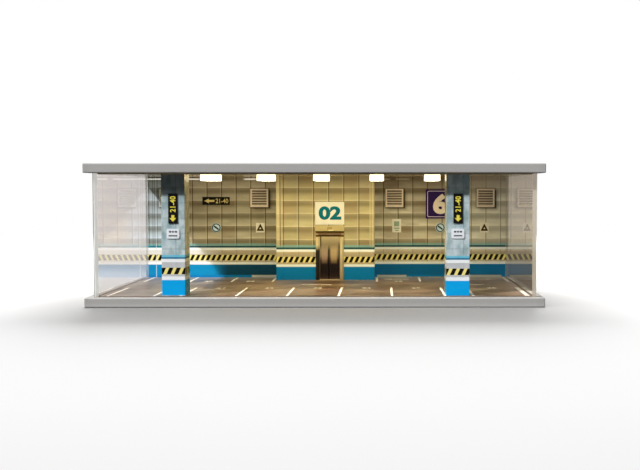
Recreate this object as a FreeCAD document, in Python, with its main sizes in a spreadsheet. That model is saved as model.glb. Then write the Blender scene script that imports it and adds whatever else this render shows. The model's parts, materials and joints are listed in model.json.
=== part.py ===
import FreeCAD, Part
import math
import os
import re

# Model parking garage: a small-scale underground car park in a display case.
# Millimetres. X runs left to right, the front faces -Y, Z is up, and the origin
# is the middle of the base board's underside.

# Driving sizes
SIZES = {
    # The case: two boards with clear panels between them
    "case_width": 360,
    "case_depth": 188,
    "case_height": 112.5,
    "board_thickness": 7.5,
    "board_rounding": 0.9,
    "side_overhang": 6,
    "front_overhang": 6,
    "back_overhang": 6,
    "panel_thickness": 3,
    "panel_rounding": 0.2,
    "wall_thickness": 3,
    "back_thickness": 5,
    "floor_thickness": 0.5,
    "ceiling_thickness": 1,
    "groove_depth": 2.5,
    # Clearances
    "glue_gap": 0.1,
    "slide_gap": 0.25,
    "lift_gap": 0.5,
    "sheet_gap": 0.2,
    "cut_past": 1,
    # Pillars behind the front panel
    "pillar_width": 18.6,
    "pillar_setback": 3,
    "pillar_inset": 58.5,
    "pillar_rounding": 0.3,
    # Lift core, a hollow box that stands out of the back wall
    "core_width": 91.2,
    "core_projection": 27,
    "core_thickness": 3,
    "trim_width": 4.8,
    "trim_thickness": 0.8,
    # Lift entrance in the core
    "lift_shift": 4,
    "frame_width": 25.9,
    "frame_height": 45.3,
    "frame_lip": 1.8,
    "frame_proud": 0.8,
    "reveal_width": 1.95,
    "reveal_height": 3.3,
    "reveal_depth": 2.6,
    "leaf_thickness": 1,
    "leaf_gap": 0.2,
    "sill_depth": 1.4,
    "sill_height": 0.6,
    # Signs and plates
    "sign_thickness": 0.6,
    "indicator_gap": 0.3,
    "indicator_height": 4.6,
    "level_sign_gap": 1.3,
    "level_sign_width": 26.9,
    "level_sign_height": 21.1,
    "zone_sign_width": 28,
    "zone_sign_drop": 25.7,
    "direction_sign_width": 26,
    "direction_sign_height": 7.5,
    "direction_sign_drop": 22.8,
    "left_sign_shift": 2.6,
    "round_sign_radius": 4.5,
    "round_sign_gap": 4.2,
    "triangle_sign_width": 8.3,
    "triangle_sign_height": 9.3,
    "triangle_sign_inset": 20.5,
    "triangle_sign_offset": 18.1,
    "notice_width": 8.5,
    "notice_height": 12.8,
    "notice_offset": 21,
    "notice_gap": 11.35,
    "pillar_sign_width": 7.3,
    "pillar_sign_height": 23.5,
    "pillar_sign_drop": 26.9,
    "pillar_plate_width": 10,
    "pillar_plate_height": 7.6,
    "pillar_plate_gap": 4.35,
    "plate_rounding": 1.2,
    # Louvred vents on the back wall
    "vent_width": 17,
    "vent_height": 17.5,
    "vent_depth": 1.6,
    "vent_border": 1.5,
    "vent_back": 0.4,
    "vent_slats": 6,
    "slat_height": 1.5,
    "slat_edge": 0.5,
    "vent_drop": 20,
    "vent_offset": 18.8,
    "vent_inset": 19.5,
    # Lamps under the ceiling
    "lamp_width": 12,
    "lamp_length": 38,
    "lamp_height": 4.5,
    "lamp_wall": 0.8,
    "lamp_rounding": 0.5,
    "lamp_pitch": 48,
    "led_board_width": 9,
    "led_board_length": 34,
    "led_board_thickness": 0.8,
    "led_width": 2.8,
    "led_length": 3.5,
    "led_height": 0.7,
    "led_count": 5,
    # Wires and their channels
    "wire_radius": 0.8,
    "feed_radius": 0.65,
    "drop_radius": 0.6,
    "lead_radius": 0.6,
    "channel_width": 3,
    "channel_depth": 2.2,
    "hole_gap": 0.6,
    "slot_length": 18,
    "feed_offset": 10,
    "lead_room": 8.5,
    # Driver board on posts inside the core
    "circuit_width": 52,
    "circuit_height": 24,
    "circuit_thickness": 1.6,
    "circuit_rise": 52,
    "post_length": 4,
    "post_radius": 2,
    "post_inset": 2.5,
    "terminal_width": 8,
    "terminal_height": 6,
    "terminal_depth": 7.5,
    "terminal_reach": 1.5,
    "coil_width": 9,
    "coil_height": 5,
    "cell_radius": 3,
    "cell_height": 8,
    # Inlet and switch at the back
    "supply_rise": 17,
    "supply_offset": 20,
    "supply_depth": 16,
    "flange_radius": 6,
    "flange_thickness": 1.6,
    "thread_radius": 4,
    "inlet_radius": 2.85,
    "inlet_depth": 9.5,
    "inlet_pin_radius": 1,
    "nut_radius": 6.4,
    "nut_thickness": 2.2,
    "switch_width": 8.6,
    "switch_height": 13,
    "switch_wall": 0.9,
    "bezel_margin": 1.1,
    "bezel_thickness": 1.5,
    "well_depth": 8,
    "rocker_gap": 0.3,
    "rocker_length": 9.4,
    "rocker_rise": 4.3,
    "rocker_dip": 1.2,
    "rocker_root": 2.6,
    "rocker_shoulder": 0.6,
    "rocker_angle": 10,
    "pivot_depth": 2,
    "pivot_radius": 0.9,
    "pivot_gap": 0.05,
    "pivot_length": 0.5,
    # Countersunk screws
    "screw_radius": 1.2,
    "screw_tip_radius": 0.2,
    "screw_head_radius": 2.5,
    "screw_head_height": 1.5,
    "screw_length": 17,
    "screw_gap": 0.1,
    "screw_slot_width": 0.5,
    "screw_slot_depth": 0.8,
    "screw_slot_length": 2.8,
    "pillar_screw_offset": 4.5,
    "back_screw_inset": 20,
    "back_screw_offset": 15,
}

# Places worked out from the sizes
PLACES = {
    "board_end": "case_width / 2",
    "front_edge": "-case_depth / 2",
    "panel_front": "front_edge + front_overhang",
    "panel_back": "panel_front + panel_thickness",
    "back_edge": "case_depth / 2",
    "back_outer": "back_edge - back_overhang",
    "back_inner": "back_outer - back_thickness",
    "wall_face": "back_inner - wall_thickness",
    "side_outer": "board_end - side_overhang",
    "side_inner": "side_outer - panel_thickness",
    "roof_under": "case_height - board_thickness",
    "floor_top": "board_thickness + floor_thickness",
    "ceiling_under": "roof_under - ceiling_thickness",
    "groove_floor": "board_thickness - groove_depth",
    "groove_roof": "roof_under + groove_depth",
    "side_front": "panel_back + slide_gap",
    "hall_middle": "(panel_back + wall_face) / 2",
    "core_half": "core_width / 2",
    "core_face": "wall_face - core_projection",
    "core_inside": "core_face + core_thickness",
    "wall_middle": "(core_half + side_inner) / 2",
    "pillar_x": "side_inner - pillar_inset",
    "pillar_front": "panel_back + pillar_setback",
    "pillar_y": "pillar_front + pillar_width / 2",
    "frame_left": "lift_shift - frame_width / 2",
    "frame_right": "lift_shift + frame_width / 2",
    "frame_top": "floor_top + frame_height",
    "frame_front": "core_face - frame_proud",
    "leaf_face": "frame_front + reveal_depth",
    "leaf_half": "frame_width / 2 - frame_lip - reveal_width",
    "leaf_top": "frame_top - frame_lip - reveal_height",
    "indicator_low": "frame_top + indicator_gap",
    "level_sign_low": "indicator_low + indicator_height + level_sign_gap",
    "zone_sign_z": "ceiling_under - zone_sign_drop",
    "low_sign_z": "zone_sign_z - zone_sign_width / 2 - round_sign_gap - round_sign_radius",
    "pillar_sign_z": "ceiling_under - pillar_sign_drop",
    "pillar_plate_top": "pillar_sign_z - pillar_sign_height / 2 - pillar_plate_gap",
    "vent_inner_x": "core_half + vent_offset",
    "vent_outer_x": "side_inner - vent_inset",
    "vent_z": "ceiling_under - vent_drop",
    "vent_inside": "vent_height - 2 * vent_border",
    "notice_top": "vent_z - vent_height / 2 - notice_gap",
    "slat_pitch": "vent_inside / vent_slats",
    "lamp_low": "ceiling_under - lamp_height",
    "led_board_low": "ceiling_under - led_board_thickness",
    "channel_end": "2 * lamp_pitch + channel_width",
    "wire_z": "roof_under + channel_depth / 2",
    "circuit_back": "back_inner - post_length",
    "circuit_face": "circuit_back - circuit_thickness",
    "circuit_low": "floor_top + circuit_rise",
    "circuit_high": "circuit_low + circuit_height",
    "wire_plane": "circuit_face - terminal_depth / 2",
    "supply_z": "floor_top + supply_rise",
    "supply_end": "back_outer - supply_depth",
    "bezel_face": "back_outer + bezel_thickness",
    "well_floor": "bezel_face - well_depth",
    "well_half_width": "switch_width / 2 - switch_wall",
    "well_half_height": "switch_height / 2 - switch_wall",
    "rocker_half_width": "well_half_width - rocker_gap",
    "pivot_y": "back_outer - pivot_depth",
    "pivot_reach": "rocker_half_width + pivot_length",
    "seat_reach": "pivot_reach + pivot_gap",
    "back_middle": "(back_inner + back_outer) / 2",
}

doc = FreeCAD.newDocument("parking_garage")
sheet = doc.addObject("Spreadsheet::Sheet", "sheet")
for row, (name, number) in enumerate(SIZES.items(), start=1):
    sheet.set(f"A{row}", name)
    sheet.set(f"B{row}", str(number))
    sheet.setAlias(f"B{row}", name)
for row, (name, formula) in enumerate(PLACES.items(), start=1):
    sheet.set(f"D{row}", name)
    sheet.set(f"E{row}", "=" + formula)
    sheet.setAlias(f"E{row}", name)
doc.recompute()

# Rotations that lay a cylinder or cone, made along Z, along another axis
ALONG = {
    "x": FreeCAD.Rotation(FreeCAD.Vector(0, 1, 0), 90),
    "y": FreeCAD.Rotation(FreeCAD.Vector(1, 0, 0), -90),
    "z": FreeCAD.Rotation(),
    "down": FreeCAD.Rotation(FreeCAD.Vector(1, 0, 0), 180),
}

# Every separate piece of the object, in the order it is made
pieces = []


def size(name):
    """The number that a cell of the sheet holds."""
    return float(getattr(sheet, name))


def bind(item, prop, rule):
    """Tie a property to a rule in which sizes and places go by their names."""
    words = re.sub(r"[a-z][a-z_]*", lambda found: known(found.group(0)), str(rule))
    item.setExpression(prop, words)


def known(word):
    """The sheet's own way to write one of its names."""
    if word in SIZES or word in PLACES:
        return "sheet." + word
    return word


def bind_place(item, x, y, z):
    """Tie an object's position to three rules."""
    bind(item, ".Placement.Base.x", x)
    bind(item, ".Placement.Base.y", y)
    bind(item, ".Placement.Base.z", z)


def block(name, x, y, z, owner=doc, kind="Part::Box"):
    """A box between a low and a high rule on each axis."""
    item = make(owner, kind, name)
    bind(item, "Length", f"({x[1]}) - ({x[0]})")
    bind(item, "Width", f"({y[1]}) - ({y[0]})")
    bind(item, "Height", f"({z[1]}) - ({z[0]})")
    bind_place(item, x[0], y[0], z[0])
    return item


def rod(name, start, radius, length, along, owner=doc, kind="Part::Cylinder"):
    """A cylinder from a start point, along one axis."""
    item = make(owner, kind, name)
    item.Placement = FreeCAD.Placement(FreeCAD.Vector(), ALONG[along])
    bind(item, "Radius", radius)
    bind(item, "Height", length)
    bind_place(item, *start)
    return item


def cone(name, start, radii, length, along):
    """A cone from a start point, along one axis."""
    item = make(doc, "Part::Cone", name)
    item.Placement = FreeCAD.Placement(FreeCAD.Vector(), ALONG[along])
    bind(item, "Radius1", radii[0])
    bind(item, "Radius2", radii[1])
    bind(item, "Height", length)
    bind_place(item, *start)
    return item


def make(owner, kind, name):
    """A new object of the document, or a new feature of a body."""
    if owner is doc:
        return doc.addObject(kind, name)
    return owner.newObject(kind, name)


def new_body(name):
    """An empty body that features are added to."""
    return doc.addObject("PartDesign::Body", name)


def add_block(body, name, x, y, z):
    """A box that is joined to a body."""
    return block(name, x, y, z, body, "PartDesign::AdditiveBox")


def cut_block(body, name, x, y, z):
    """A box that is taken out of a body."""
    return block(name, x, y, z, body, "PartDesign::SubtractiveBox")


def add_rod(body, name, start, radius, length, along):
    """A cylinder that is joined to a body."""
    return rod(name, start, radius, length, along, body, "PartDesign::AdditiveCylinder")


def cut_rod(body, name, start, radius, length, along):
    """A cylinder that is taken out of a body."""
    return rod(name, start, radius, length, along, body, "PartDesign::SubtractiveCylinder")


def round_edges(body, feature, radius, wanted=None):
    """Round a feature's edges: all of them, or those that a test picks."""
    doc.recompute()
    names = []
    for number, edge in enumerate(feature.Shape.Edges, start=1):
        if wanted is None or wanted(edge):
            names.append(f"Edge{number}")
    item = body.newObject("PartDesign::Fillet", feature.Name + "_rounding")
    item.Base = (feature, names)
    bind(item, "Radius", radius)
    return item


def runs_along(axis):
    """A test that picks the straight edges along one axis."""
    def test(edge):
        run = edge.Vertexes[-1].Point - edge.Vertexes[0].Point
        return abs(getattr(run, axis)) > run.Length / 2
    return test


def repeat(body, feature, role, count, length):
    """Repeat a feature in a straight row along one of the body's axes."""
    axis = next(item for item in body.Origin.OriginFeatures if item.Role == role)
    item = body.newObject("PartDesign::LinearPattern", feature.Name + "_row")
    item.Originals = [feature]
    item.Direction = (axis, [""])
    bind(item, "Occurrences", count)
    bind(item, "Length", length)
    body.Tip = item
    return item


def cut(name, base, tools):
    """A solid less its tools."""
    item = doc.addObject("Part::Cut", name)
    item.Base = base
    item.Tool = tools[0] if len(tools) == 1 else join(name + "_tools", tools)
    return item


def join(name, items):
    """Several solids as one object."""
    item = doc.addObject("Part::MultiFuse", name)
    item.Shapes = items
    return item


def group(name, items):
    """Like pieces that stay separate solids."""
    item = doc.addObject("Part::Compound", name)
    item.Links = items
    return item


def keep(item, name):
    """Count an object as a piece, under the name that its file gets."""
    item.Label = name
    pieces.append(item)
    return item


def around(middle, width):
    """The low and high rule of a width that is centred on a rule."""
    return f"{middle} - {width} / 2", f"{middle} + {width} / 2"


# Countersunk screws: from under the base into the pillars and the back board,
# and from over the roof into the same pieces
screw_spots = []
for side in ("-", ""):
    for offset in ("- pillar_screw_offset", "+ pillar_screw_offset"):
        screw_spots.append((f"{side}pillar_x {offset}", "pillar_y"))
    screw_spots.append((f"{side}(side_outer - back_screw_inset)", "back_middle"))
    screw_spots.append((f"{side}(core_half + back_screw_offset)", "back_middle"))


def screw(name, x, y, face, along):
    """One screw: a countersunk head with a cross slot, a shank and a point."""
    into = "+" if along == "z" else "-"
    start = (x, y, face)
    head_end = f"{face} {into} screw_head_height"
    head = cone(name + "_head", start, ("screw_head_radius", "screw_radius"), "screw_head_height", along)
    shank_length = "screw_length - screw_head_height - screw_head_radius"
    shank = rod(name + "_shank", (x, y, head_end), "screw_radius", shank_length, along)
    point_start = f"{face} {into} (screw_length - screw_head_radius)"
    tip_radii = ("screw_radius", "screw_tip_radius")
    point = cone(name + "_point", (x, y, point_start), tip_radii, "screw_head_radius", along)
    slots = []
    slot_z = (face, f"{face} + screw_slot_depth")
    if along == "down":
        slot_z = (f"{face} - screw_slot_depth", face)
    for turn, widths in enumerate((("screw_slot_length", "screw_slot_width"),
                                   ("screw_slot_width", "screw_slot_length"))):
        slots.append(block(f"{name}_slot_{turn}", around(x, widths[0]), around(y, widths[1]), slot_z))
    return cut(name, join(name + "_body", [head, shank, point]), slots)


def screw_room(name, face, along):
    """The countersunk holes that all the screws of one board need."""
    into = "+" if along == "z" else "-"
    rooms = []
    for number, (x, y) in enumerate(screw_spots):
        start = (x, y, face)
        radii = ("screw_head_radius", "screw_radius")
        rooms.append(cone(f"{name}_sink_{number}", start, radii, "screw_head_height", along))
        past_head = (x, y, f"{face} {into} screw_head_height")
        length = "screw_length - screw_head_height + cut_past"
        rooms.append(rod(f"{name}_hole_{number}", past_head, "screw_radius + screw_gap", length, along))
    return join(name, rooms)


base_screw_room = screw_room("base_screw_room", "0", "z")
roof_screw_room = screw_room("roof_screw_room", "case_height", "down")


def grooved_board(name, z, groove_z):
    """A rounded board with grooves for the clear panels and the back board."""
    body = new_body(name)
    slab = add_block(body, name + "_slab", ("-board_end", "board_end"), ("front_edge", "back_edge"), z)
    round_edges(body, slab, "board_rounding")
    slide_x = ("-side_outer - slide_gap", "board_end + cut_past")
    slide_y = ("panel_front - slide_gap", "panel_back + slide_gap")
    cut_block(body, name + "_slide_groove", slide_x, slide_y, groove_z)
    fixed_y = ("side_front - glue_gap", "back_inner + glue_gap")
    left_x = ("-side_outer - glue_gap", "-side_inner + glue_gap")
    right_x = ("side_inner - glue_gap", "side_outer + glue_gap")
    cut_block(body, name + "_left_groove", left_x, fixed_y, groove_z)
    cut_block(body, name + "_right_groove", right_x, fixed_y, groove_z)
    back_x = ("-side_outer - glue_gap", "side_outer + glue_gap")
    back_y = ("back_inner - glue_gap", "back_outer + glue_gap")
    cut_block(body, name + "_back_groove", back_x, back_y, groove_z)
    return body


# Base board
base_groove_z = ("groove_floor", "board_thickness + cut_past")
base_blank = grooved_board("base_blank", ("0", "board_thickness"), base_groove_z)
keep(cut("base_board", base_blank, [base_screw_room]), "base_board")

# Printed floor sheet
floor_blank = block(
    "floor_blank",
    ("-side_inner + sheet_gap", "side_inner - sheet_gap"),
    ("side_front + sheet_gap", "wall_face"),
    ("board_thickness", "floor_top"),
)
keep(cut("floor_sheet", floor_blank, [base_screw_room]), "floor_sheet")

# Roof board, with a channel for the lamp wires in its underside
roof_groove_z = ("roof_under - cut_past", "groove_roof")
roof_blank = grooved_board("roof_blank", ("roof_under", "case_height"), roof_groove_z)
channel_z = ("roof_under - cut_past", "roof_under + channel_depth")
channel_y = around("hall_middle", "channel_width")
cut_block(roof_blank, "lamp_channel", ("-channel_end", "channel_end"), channel_y, channel_z)
feed_y = ("hall_middle", "wire_plane + channel_width / 2")
cut_block(roof_blank, "feed_channel", around("feed_offset", "channel_width"), feed_y, channel_z)
keep(cut("roof_board", roof_blank, [roof_screw_room]), "roof_board")

# Ceiling panel, with a hole over each lamp and a slot over the core
lamp_steps = (-2, -1, 0, 1, 2)
lamp_spots = [f"{step} * lamp_pitch" for step in lamp_steps]
ceiling_blank = block(
    "ceiling_blank",
    ("-side_inner + sheet_gap", "side_inner - sheet_gap"),
    ("side_front + sheet_gap", "wall_face"),
    ("ceiling_under", "roof_under"),
)
ceiling_tools = [roof_screw_room]
for number, x in enumerate(lamp_spots, start=1):
    start = (x, "hall_middle", "ceiling_under - cut_past")
    length = "ceiling_thickness + 2 * cut_past"
    ceiling_tools.append(rod(f"lamp_hole_{number}", start, "drop_radius + hole_gap", length, "z"))
slot_y = ("wire_plane + channel_width - slot_length", "wire_plane + channel_width")
slot_z = ("ceiling_under - cut_past", "roof_under + cut_past")
ceiling_tools.append(block("feed_slot", around("feed_offset", "channel_width"), slot_y, slot_z))
keep(cut("ceiling_panel", ceiling_blank, ceiling_tools), "ceiling_panel")

# Back board, with holes for the inlet and the switch
back_blank = block(
    "back_blank",
    ("-side_outer", "side_outer"),
    ("back_inner", "back_outer"),
    ("groove_floor", "groove_roof"),
)
inlet_start = ("-supply_offset", "back_inner - cut_past", "supply_z")
inlet_hole = rod("inlet_hole", inlet_start, "thread_radius + glue_gap", "back_thickness + 2 * cut_past", "y")
switch_hole = block(
    "switch_hole",
    around("supply_offset", "(switch_width + 2 * glue_gap)"),
    ("back_inner - cut_past", "back_outer + cut_past"),
    around("supply_z", "(switch_height + 2 * glue_gap)"),
)
keep(cut("back_board", back_blank, [base_screw_room, roof_screw_room, inlet_hole, switch_hole]), "back_board")

# Clear side panels, fixed in the grooves
for name, x in (
    ("side_panel_left", ("-side_outer", "-side_inner")),
    ("side_panel_right", ("side_inner", "side_outer")),
):
    body = new_body(name)
    slab = add_block(body, name + "_slab", x, ("side_front", "back_inner"), ("groove_floor", "groove_roof"))
    round_edges(body, slab, "panel_rounding")
    keep(body, name)

# Clear front panel, free to slide in its groove
front = new_body("front_panel")
front_z = ("groove_floor", "groove_roof - lift_gap")
slab = add_block(front, "front_slab", ("-side_outer", "side_outer"), ("panel_front", "panel_back"), front_z)
round_edges(front, slab, "panel_rounding")
keep(front, "front_panel")

# Printed wall panels each side of the core
for name, x in (
    ("wall_panel_left", ("-side_inner + sheet_gap", "-core_half - glue_gap")),
    ("wall_panel_right", ("core_half + glue_gap", "side_inner - sheet_gap")),
):
    keep(block(name, x, ("wall_face", "back_inner"), ("board_thickness", "roof_under")), name)

# Lift core: a front with a doorway, and two returns to the back board
hall_z = ("floor_top", "ceiling_under")
core_blank = block("core_blank", ("-core_half", "core_half"), ("core_face", "core_inside"), hall_z)
doorway = block(
    "doorway",
    ("frame_left - glue_gap", "frame_right + glue_gap"),
    ("core_face - cut_past", "core_inside + cut_past"),
    ("floor_top - cut_past", "frame_top + glue_gap"),
)
keep(cut("core_front", core_blank, [doorway]), "core_front")
for name, x, trim in (
    ("left", ("-core_half", "-core_half + core_thickness"), ("-core_half", "-core_half + trim_width")),
    ("right", ("core_half - core_thickness", "core_half"), ("core_half - trim_width", "core_half")),
):
    keep(block("core_side_" + name, x, ("core_inside", "back_inner"), hall_z), "core_side_" + name)
    trim_y = ("core_face - trim_thickness", "core_face")
    keep(block("core_trim_" + name, trim, trim_y, hall_z), "core_trim_" + name)

# Lift frame: a splayed surround, open at the foot
frame_blank = block(
    "frame_blank",
    ("frame_left", "frame_right"),
    ("frame_front", "core_inside"),
    ("floor_top", "frame_top"),
)
splay = doc.addObject("Part::Wedge", "splay")
for prop, rule in (
    ("Xmin", "frame_left + frame_lip"),
    ("Xmax", "frame_right - frame_lip"),
    ("X2min", "frame_left + frame_lip + reveal_width"),
    ("X2max", "frame_right - frame_lip - reveal_width"),
    ("Ymin", "frame_front"),
    ("Ymax", "leaf_face"),
    ("Zmin", "floor_top - cut_past"),
    ("Zmax", "frame_top - frame_lip"),
    ("Z2min", "floor_top - cut_past"),
    ("Z2max", "leaf_top"),
):
    bind(splay, prop, rule)
leaf_room = block(
    "leaf_room",
    ("lift_shift - leaf_half", "lift_shift + leaf_half"),
    ("leaf_face", "core_inside + cut_past"),
    ("floor_top - cut_past", "leaf_top"),
)
keep(cut("lift_frame", frame_blank, [splay, leaf_room]), "lift_frame")

# Lift doors, two steel leaves, and the sill in front of them
leaf_y = ("leaf_face", "leaf_face + leaf_thickness")
for name, x in (
    ("left", ("lift_shift - leaf_half", "lift_shift - leaf_gap / 2")),
    ("right", ("lift_shift + leaf_gap / 2", "lift_shift + leaf_half")),
):
    keep(block("lift_door_" + name, x, leaf_y, ("floor_top", "leaf_top")), "lift_door_" + name)
sill = block(
    "lift_sill",
    ("lift_shift - leaf_half", "lift_shift + leaf_half"),
    ("frame_front - sill_depth", "leaf_face"),
    ("floor_top", "floor_top + sill_height"),
)
keep(sill, "lift_sill")


def plate(name, x, y, z, rounding=None):
    """A thin sign plate in front of a wall whose face is at y."""
    body = new_body(name)
    slab = add_block(body, name + "_slab", x, (f"{y} - sign_thickness", y), z)
    if rounding:
        round_edges(body, slab, rounding, runs_along("y"))
    return keep(body, name)


# Signs on the core
indicator_z = ("indicator_low", "indicator_low + indicator_height")
plate("lift_indicator", around("lift_shift", "level_sign_width"), "core_face", indicator_z)
level_z = ("level_sign_low", "level_sign_low + level_sign_height")
plate("level_sign", around("lift_shift", "level_sign_width"), "core_face", level_z)

# Signs on the wall panels
zone_z = around("zone_sign_z", "zone_sign_width")
plate("zone_sign", around("wall_middle", "zone_sign_width"), "wall_face", zone_z)
direction_x = around("(-wall_middle + left_sign_shift)", "direction_sign_width")
direction_z = around("(ceiling_under - direction_sign_drop)", "direction_sign_height")
plate("direction_sign", direction_x, "wall_face", direction_z)
for name, x in (("left", "-wall_middle + left_sign_shift"), ("right", "wall_middle")):
    start = (x, "wall_face - sign_thickness", "low_sign_z")
    disc = rod("round_sign_" + name, start, "round_sign_radius", "sign_thickness", "y")
    keep(disc, "round_sign_" + name)
triangle_z = around("low_sign_z", "triangle_sign_height")
for name, x in (
    ("left", "(-core_half - triangle_sign_offset)"),
    ("right", "(side_inner - triangle_sign_inset)"),
):
    plate("triangle_sign_" + name, around(x, "triangle_sign_width"), "wall_face", triangle_z)
notice_x = around("(core_half + notice_offset)", "notice_width")
plate("notice_plate", notice_x, "wall_face", ("notice_top - notice_height", "notice_top"))

# Vents: a shallow framed box with slanted slats
vent_spots = ("-vent_outer_x", "-vent_inner_x", "vent_inner_x", "vent_outer_x")
for number, x in enumerate(vent_spots, start=1):
    name = f"vent_{number}"
    body = new_body(name)
    vent_front = "wall_face - vent_depth"
    outer_z = around("vent_z", "vent_height")
    inner_x = around(x, "(vent_width - 2 * vent_border)")
    inner_z = around("vent_z", "vent_inside")
    add_block(body, name + "_slab", around(x, "vent_width"), (vent_front, "wall_face"), outer_z)
    cut_block(body, name + "_well", inner_x, (f"{vent_front} - cut_past", "wall_face - vent_back"), inner_z)
    slat = body.newObject("PartDesign::AdditiveWedge", name + "_slat")
    for prop, rule in (
        ("Xmin", inner_x[0]),
        ("Xmax", inner_x[1]),
        ("X2min", inner_x[0]),
        ("X2max", inner_x[1]),
        ("Ymin", vent_front),
        ("Ymax", "wall_face - vent_back"),
        ("Zmin", inner_z[0]),
        ("Zmax", f"{inner_z[0]} + slat_edge"),
        ("Z2min", f"{inner_z[0]} + slat_height - slat_edge"),
        ("Z2max", f"{inner_z[0]} + slat_height"),
    ):
        bind(slat, prop, rule)
    repeat(body, slat, "Z_Axis", "vent_slats", "slat_pitch * (vent_slats - 1)")
    keep(body, name)

# Pillars, with an upright sign and a small plate on the front of each
for name, side in (("left", "-"), ("right", "")):
    body = new_body("pillar_blank_" + name)
    middle = f"({side}pillar_x)"
    pillar_y = ("pillar_front", "pillar_front + pillar_width")
    slab = add_block(body, f"pillar_{name}_slab", around(middle, "pillar_width"), pillar_y, hall_z)
    round_edges(body, slab, "pillar_rounding", runs_along("z"))
    keep(cut("pillar_" + name, body, [base_screw_room, roof_screw_room]), "pillar_" + name)
    sign_z = around("pillar_sign_z", "pillar_sign_height")
    plate("pillar_sign_" + name, around(middle, "pillar_sign_width"), "pillar_front", sign_z)
    plate_z = ("pillar_plate_top - pillar_plate_height", "pillar_plate_top")
    plate_x = around(middle, "pillar_plate_width")
    plate("pillar_plate_" + name, plate_x, "pillar_front", plate_z, "plate_rounding")

def lies_under(edge):
    """A test that picks the edges of a lamp cover's underside."""
    return edge.BoundBox.ZMax < size("lamp_low") + size("lamp_rounding")


# Lamps: a translucent cover, open at the top, over a strip of LEDs
lamp_y = around("hall_middle", "lamp_length")
lamp_z = ("lamp_low", "ceiling_under")
inside_y = around("hall_middle", "(lamp_length - 2 * lamp_wall)")
inside_z = ("lamp_low + lamp_wall", "ceiling_under + cut_past")
board_y = around("hall_middle", "led_board_length")
board_z = ("led_board_low", "ceiling_under")
first_led_y = around("(hall_middle - led_board_length / 2 + led_length)", "led_length")
led_z = ("led_board_low - led_height", "led_board_low")
for number, x in enumerate(lamp_spots, start=1):
    body = new_body(f"lamp_cover_{number}")
    slab = add_block(body, f"cover_{number}_slab", around(x, "lamp_width"), lamp_y, lamp_z)
    round_edges(body, slab, "lamp_rounding", lies_under)
    inside_x = around(x, "(lamp_width - 2 * lamp_wall)")
    cut_block(body, f"cover_{number}_inside", inside_x, inside_y, inside_z)
    keep(body, f"lamp_cover_{number}")

    body = new_body(f"led_board_{number}")
    add_block(body, f"led_{number}_slab", around(x, "led_board_width"), board_y, board_z)
    led = add_block(body, f"led_{number}", around(x, "led_width"), first_led_y, led_z)
    repeat(body, led, "Y_Axis", "led_count", "led_board_length - 2 * led_length")
    keep(body, f"led_board_{number}")

# Driver board on four posts inside the core
circuit = new_body("driver_board")
circuit_z = ("circuit_low", "circuit_high")
add_block(circuit, "circuit_slab", around("0", "circuit_width"), ("circuit_face", "circuit_back"), circuit_z)
terminal_y = ("circuit_face - terminal_depth", "circuit_face")
low_z = ("circuit_low - terminal_reach", "circuit_low - terminal_reach + terminal_height")
high_z = ("circuit_high + terminal_reach - terminal_height", "circuit_high + terminal_reach")
for name, x, z in (
    ("inlet_terminal", "-supply_offset", low_z),
    ("switch_terminal", "supply_offset", low_z),
    ("lamp_terminal", "feed_offset", high_z),
):
    add_block(circuit, name, around(x, "terminal_width"), terminal_y, z)
coil_y = ("circuit_face - coil_height", "circuit_face")
coil_z = around("(circuit_low + circuit_height / 2)", "coil_width")
add_block(circuit, "coil", around("0", "coil_width"), coil_y, coil_z)
cell_spot = ("-supply_offset", "circuit_face - cell_height", "circuit_high - 2 * cell_radius")
add_rod(circuit, "cell", cell_spot, "cell_radius", "cell_height", "y")
keep(circuit, "driver_board")
posts = []
for side in ("-", ""):
    for z in ("circuit_low + post_inset", "circuit_high - post_inset"):
        start = (f"{side}(circuit_width / 2 - post_inset)", "circuit_back", z)
        posts.append(rod(f"post_{len(posts)}", start, "post_radius", "post_length", "y"))
keep(group("board_posts", posts), "board_posts")

# Low-voltage inlet and its nut
socket = new_body("power_socket")
socket_spot = ("-supply_offset", "supply_end", "supply_z")
add_rod(socket, "socket_barrel", socket_spot, "thread_radius", "supply_depth", "y")
flange_spot = ("-supply_offset", "back_outer", "supply_z")
add_rod(socket, "socket_flange", flange_spot, "flange_radius", "flange_thickness", "y")
mouth_spot = ("-supply_offset", "back_outer + flange_thickness - inlet_depth", "supply_z")
cut_rod(socket, "socket_bore", mouth_spot, "inlet_radius", "inlet_depth + cut_past", "y")
add_rod(socket, "socket_pin", mouth_spot, "inlet_pin_radius", "inlet_depth - inlet_pin_radius", "y")
keep(socket, "power_socket")
nut_blank = doc.addObject("Part::Prism", "nut_blank")
nut_blank.Polygon = 6
nut_blank.Placement = FreeCAD.Placement(FreeCAD.Vector(), ALONG["y"])
bind(nut_blank, "Circumradius", "nut_radius")
bind(nut_blank, "Height", "nut_thickness")
bind_place(nut_blank, "-supply_offset", "back_inner - nut_thickness", "supply_z")
nut_start = ("-supply_offset", "back_inner - nut_thickness - cut_past", "supply_z")
nut_hole = rod("nut_hole", nut_start, "thread_radius + pivot_gap", "nut_thickness + 2 * cut_past", "y")
keep(cut("socket_nut", nut_blank, [nut_hole]), "socket_nut")

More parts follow.
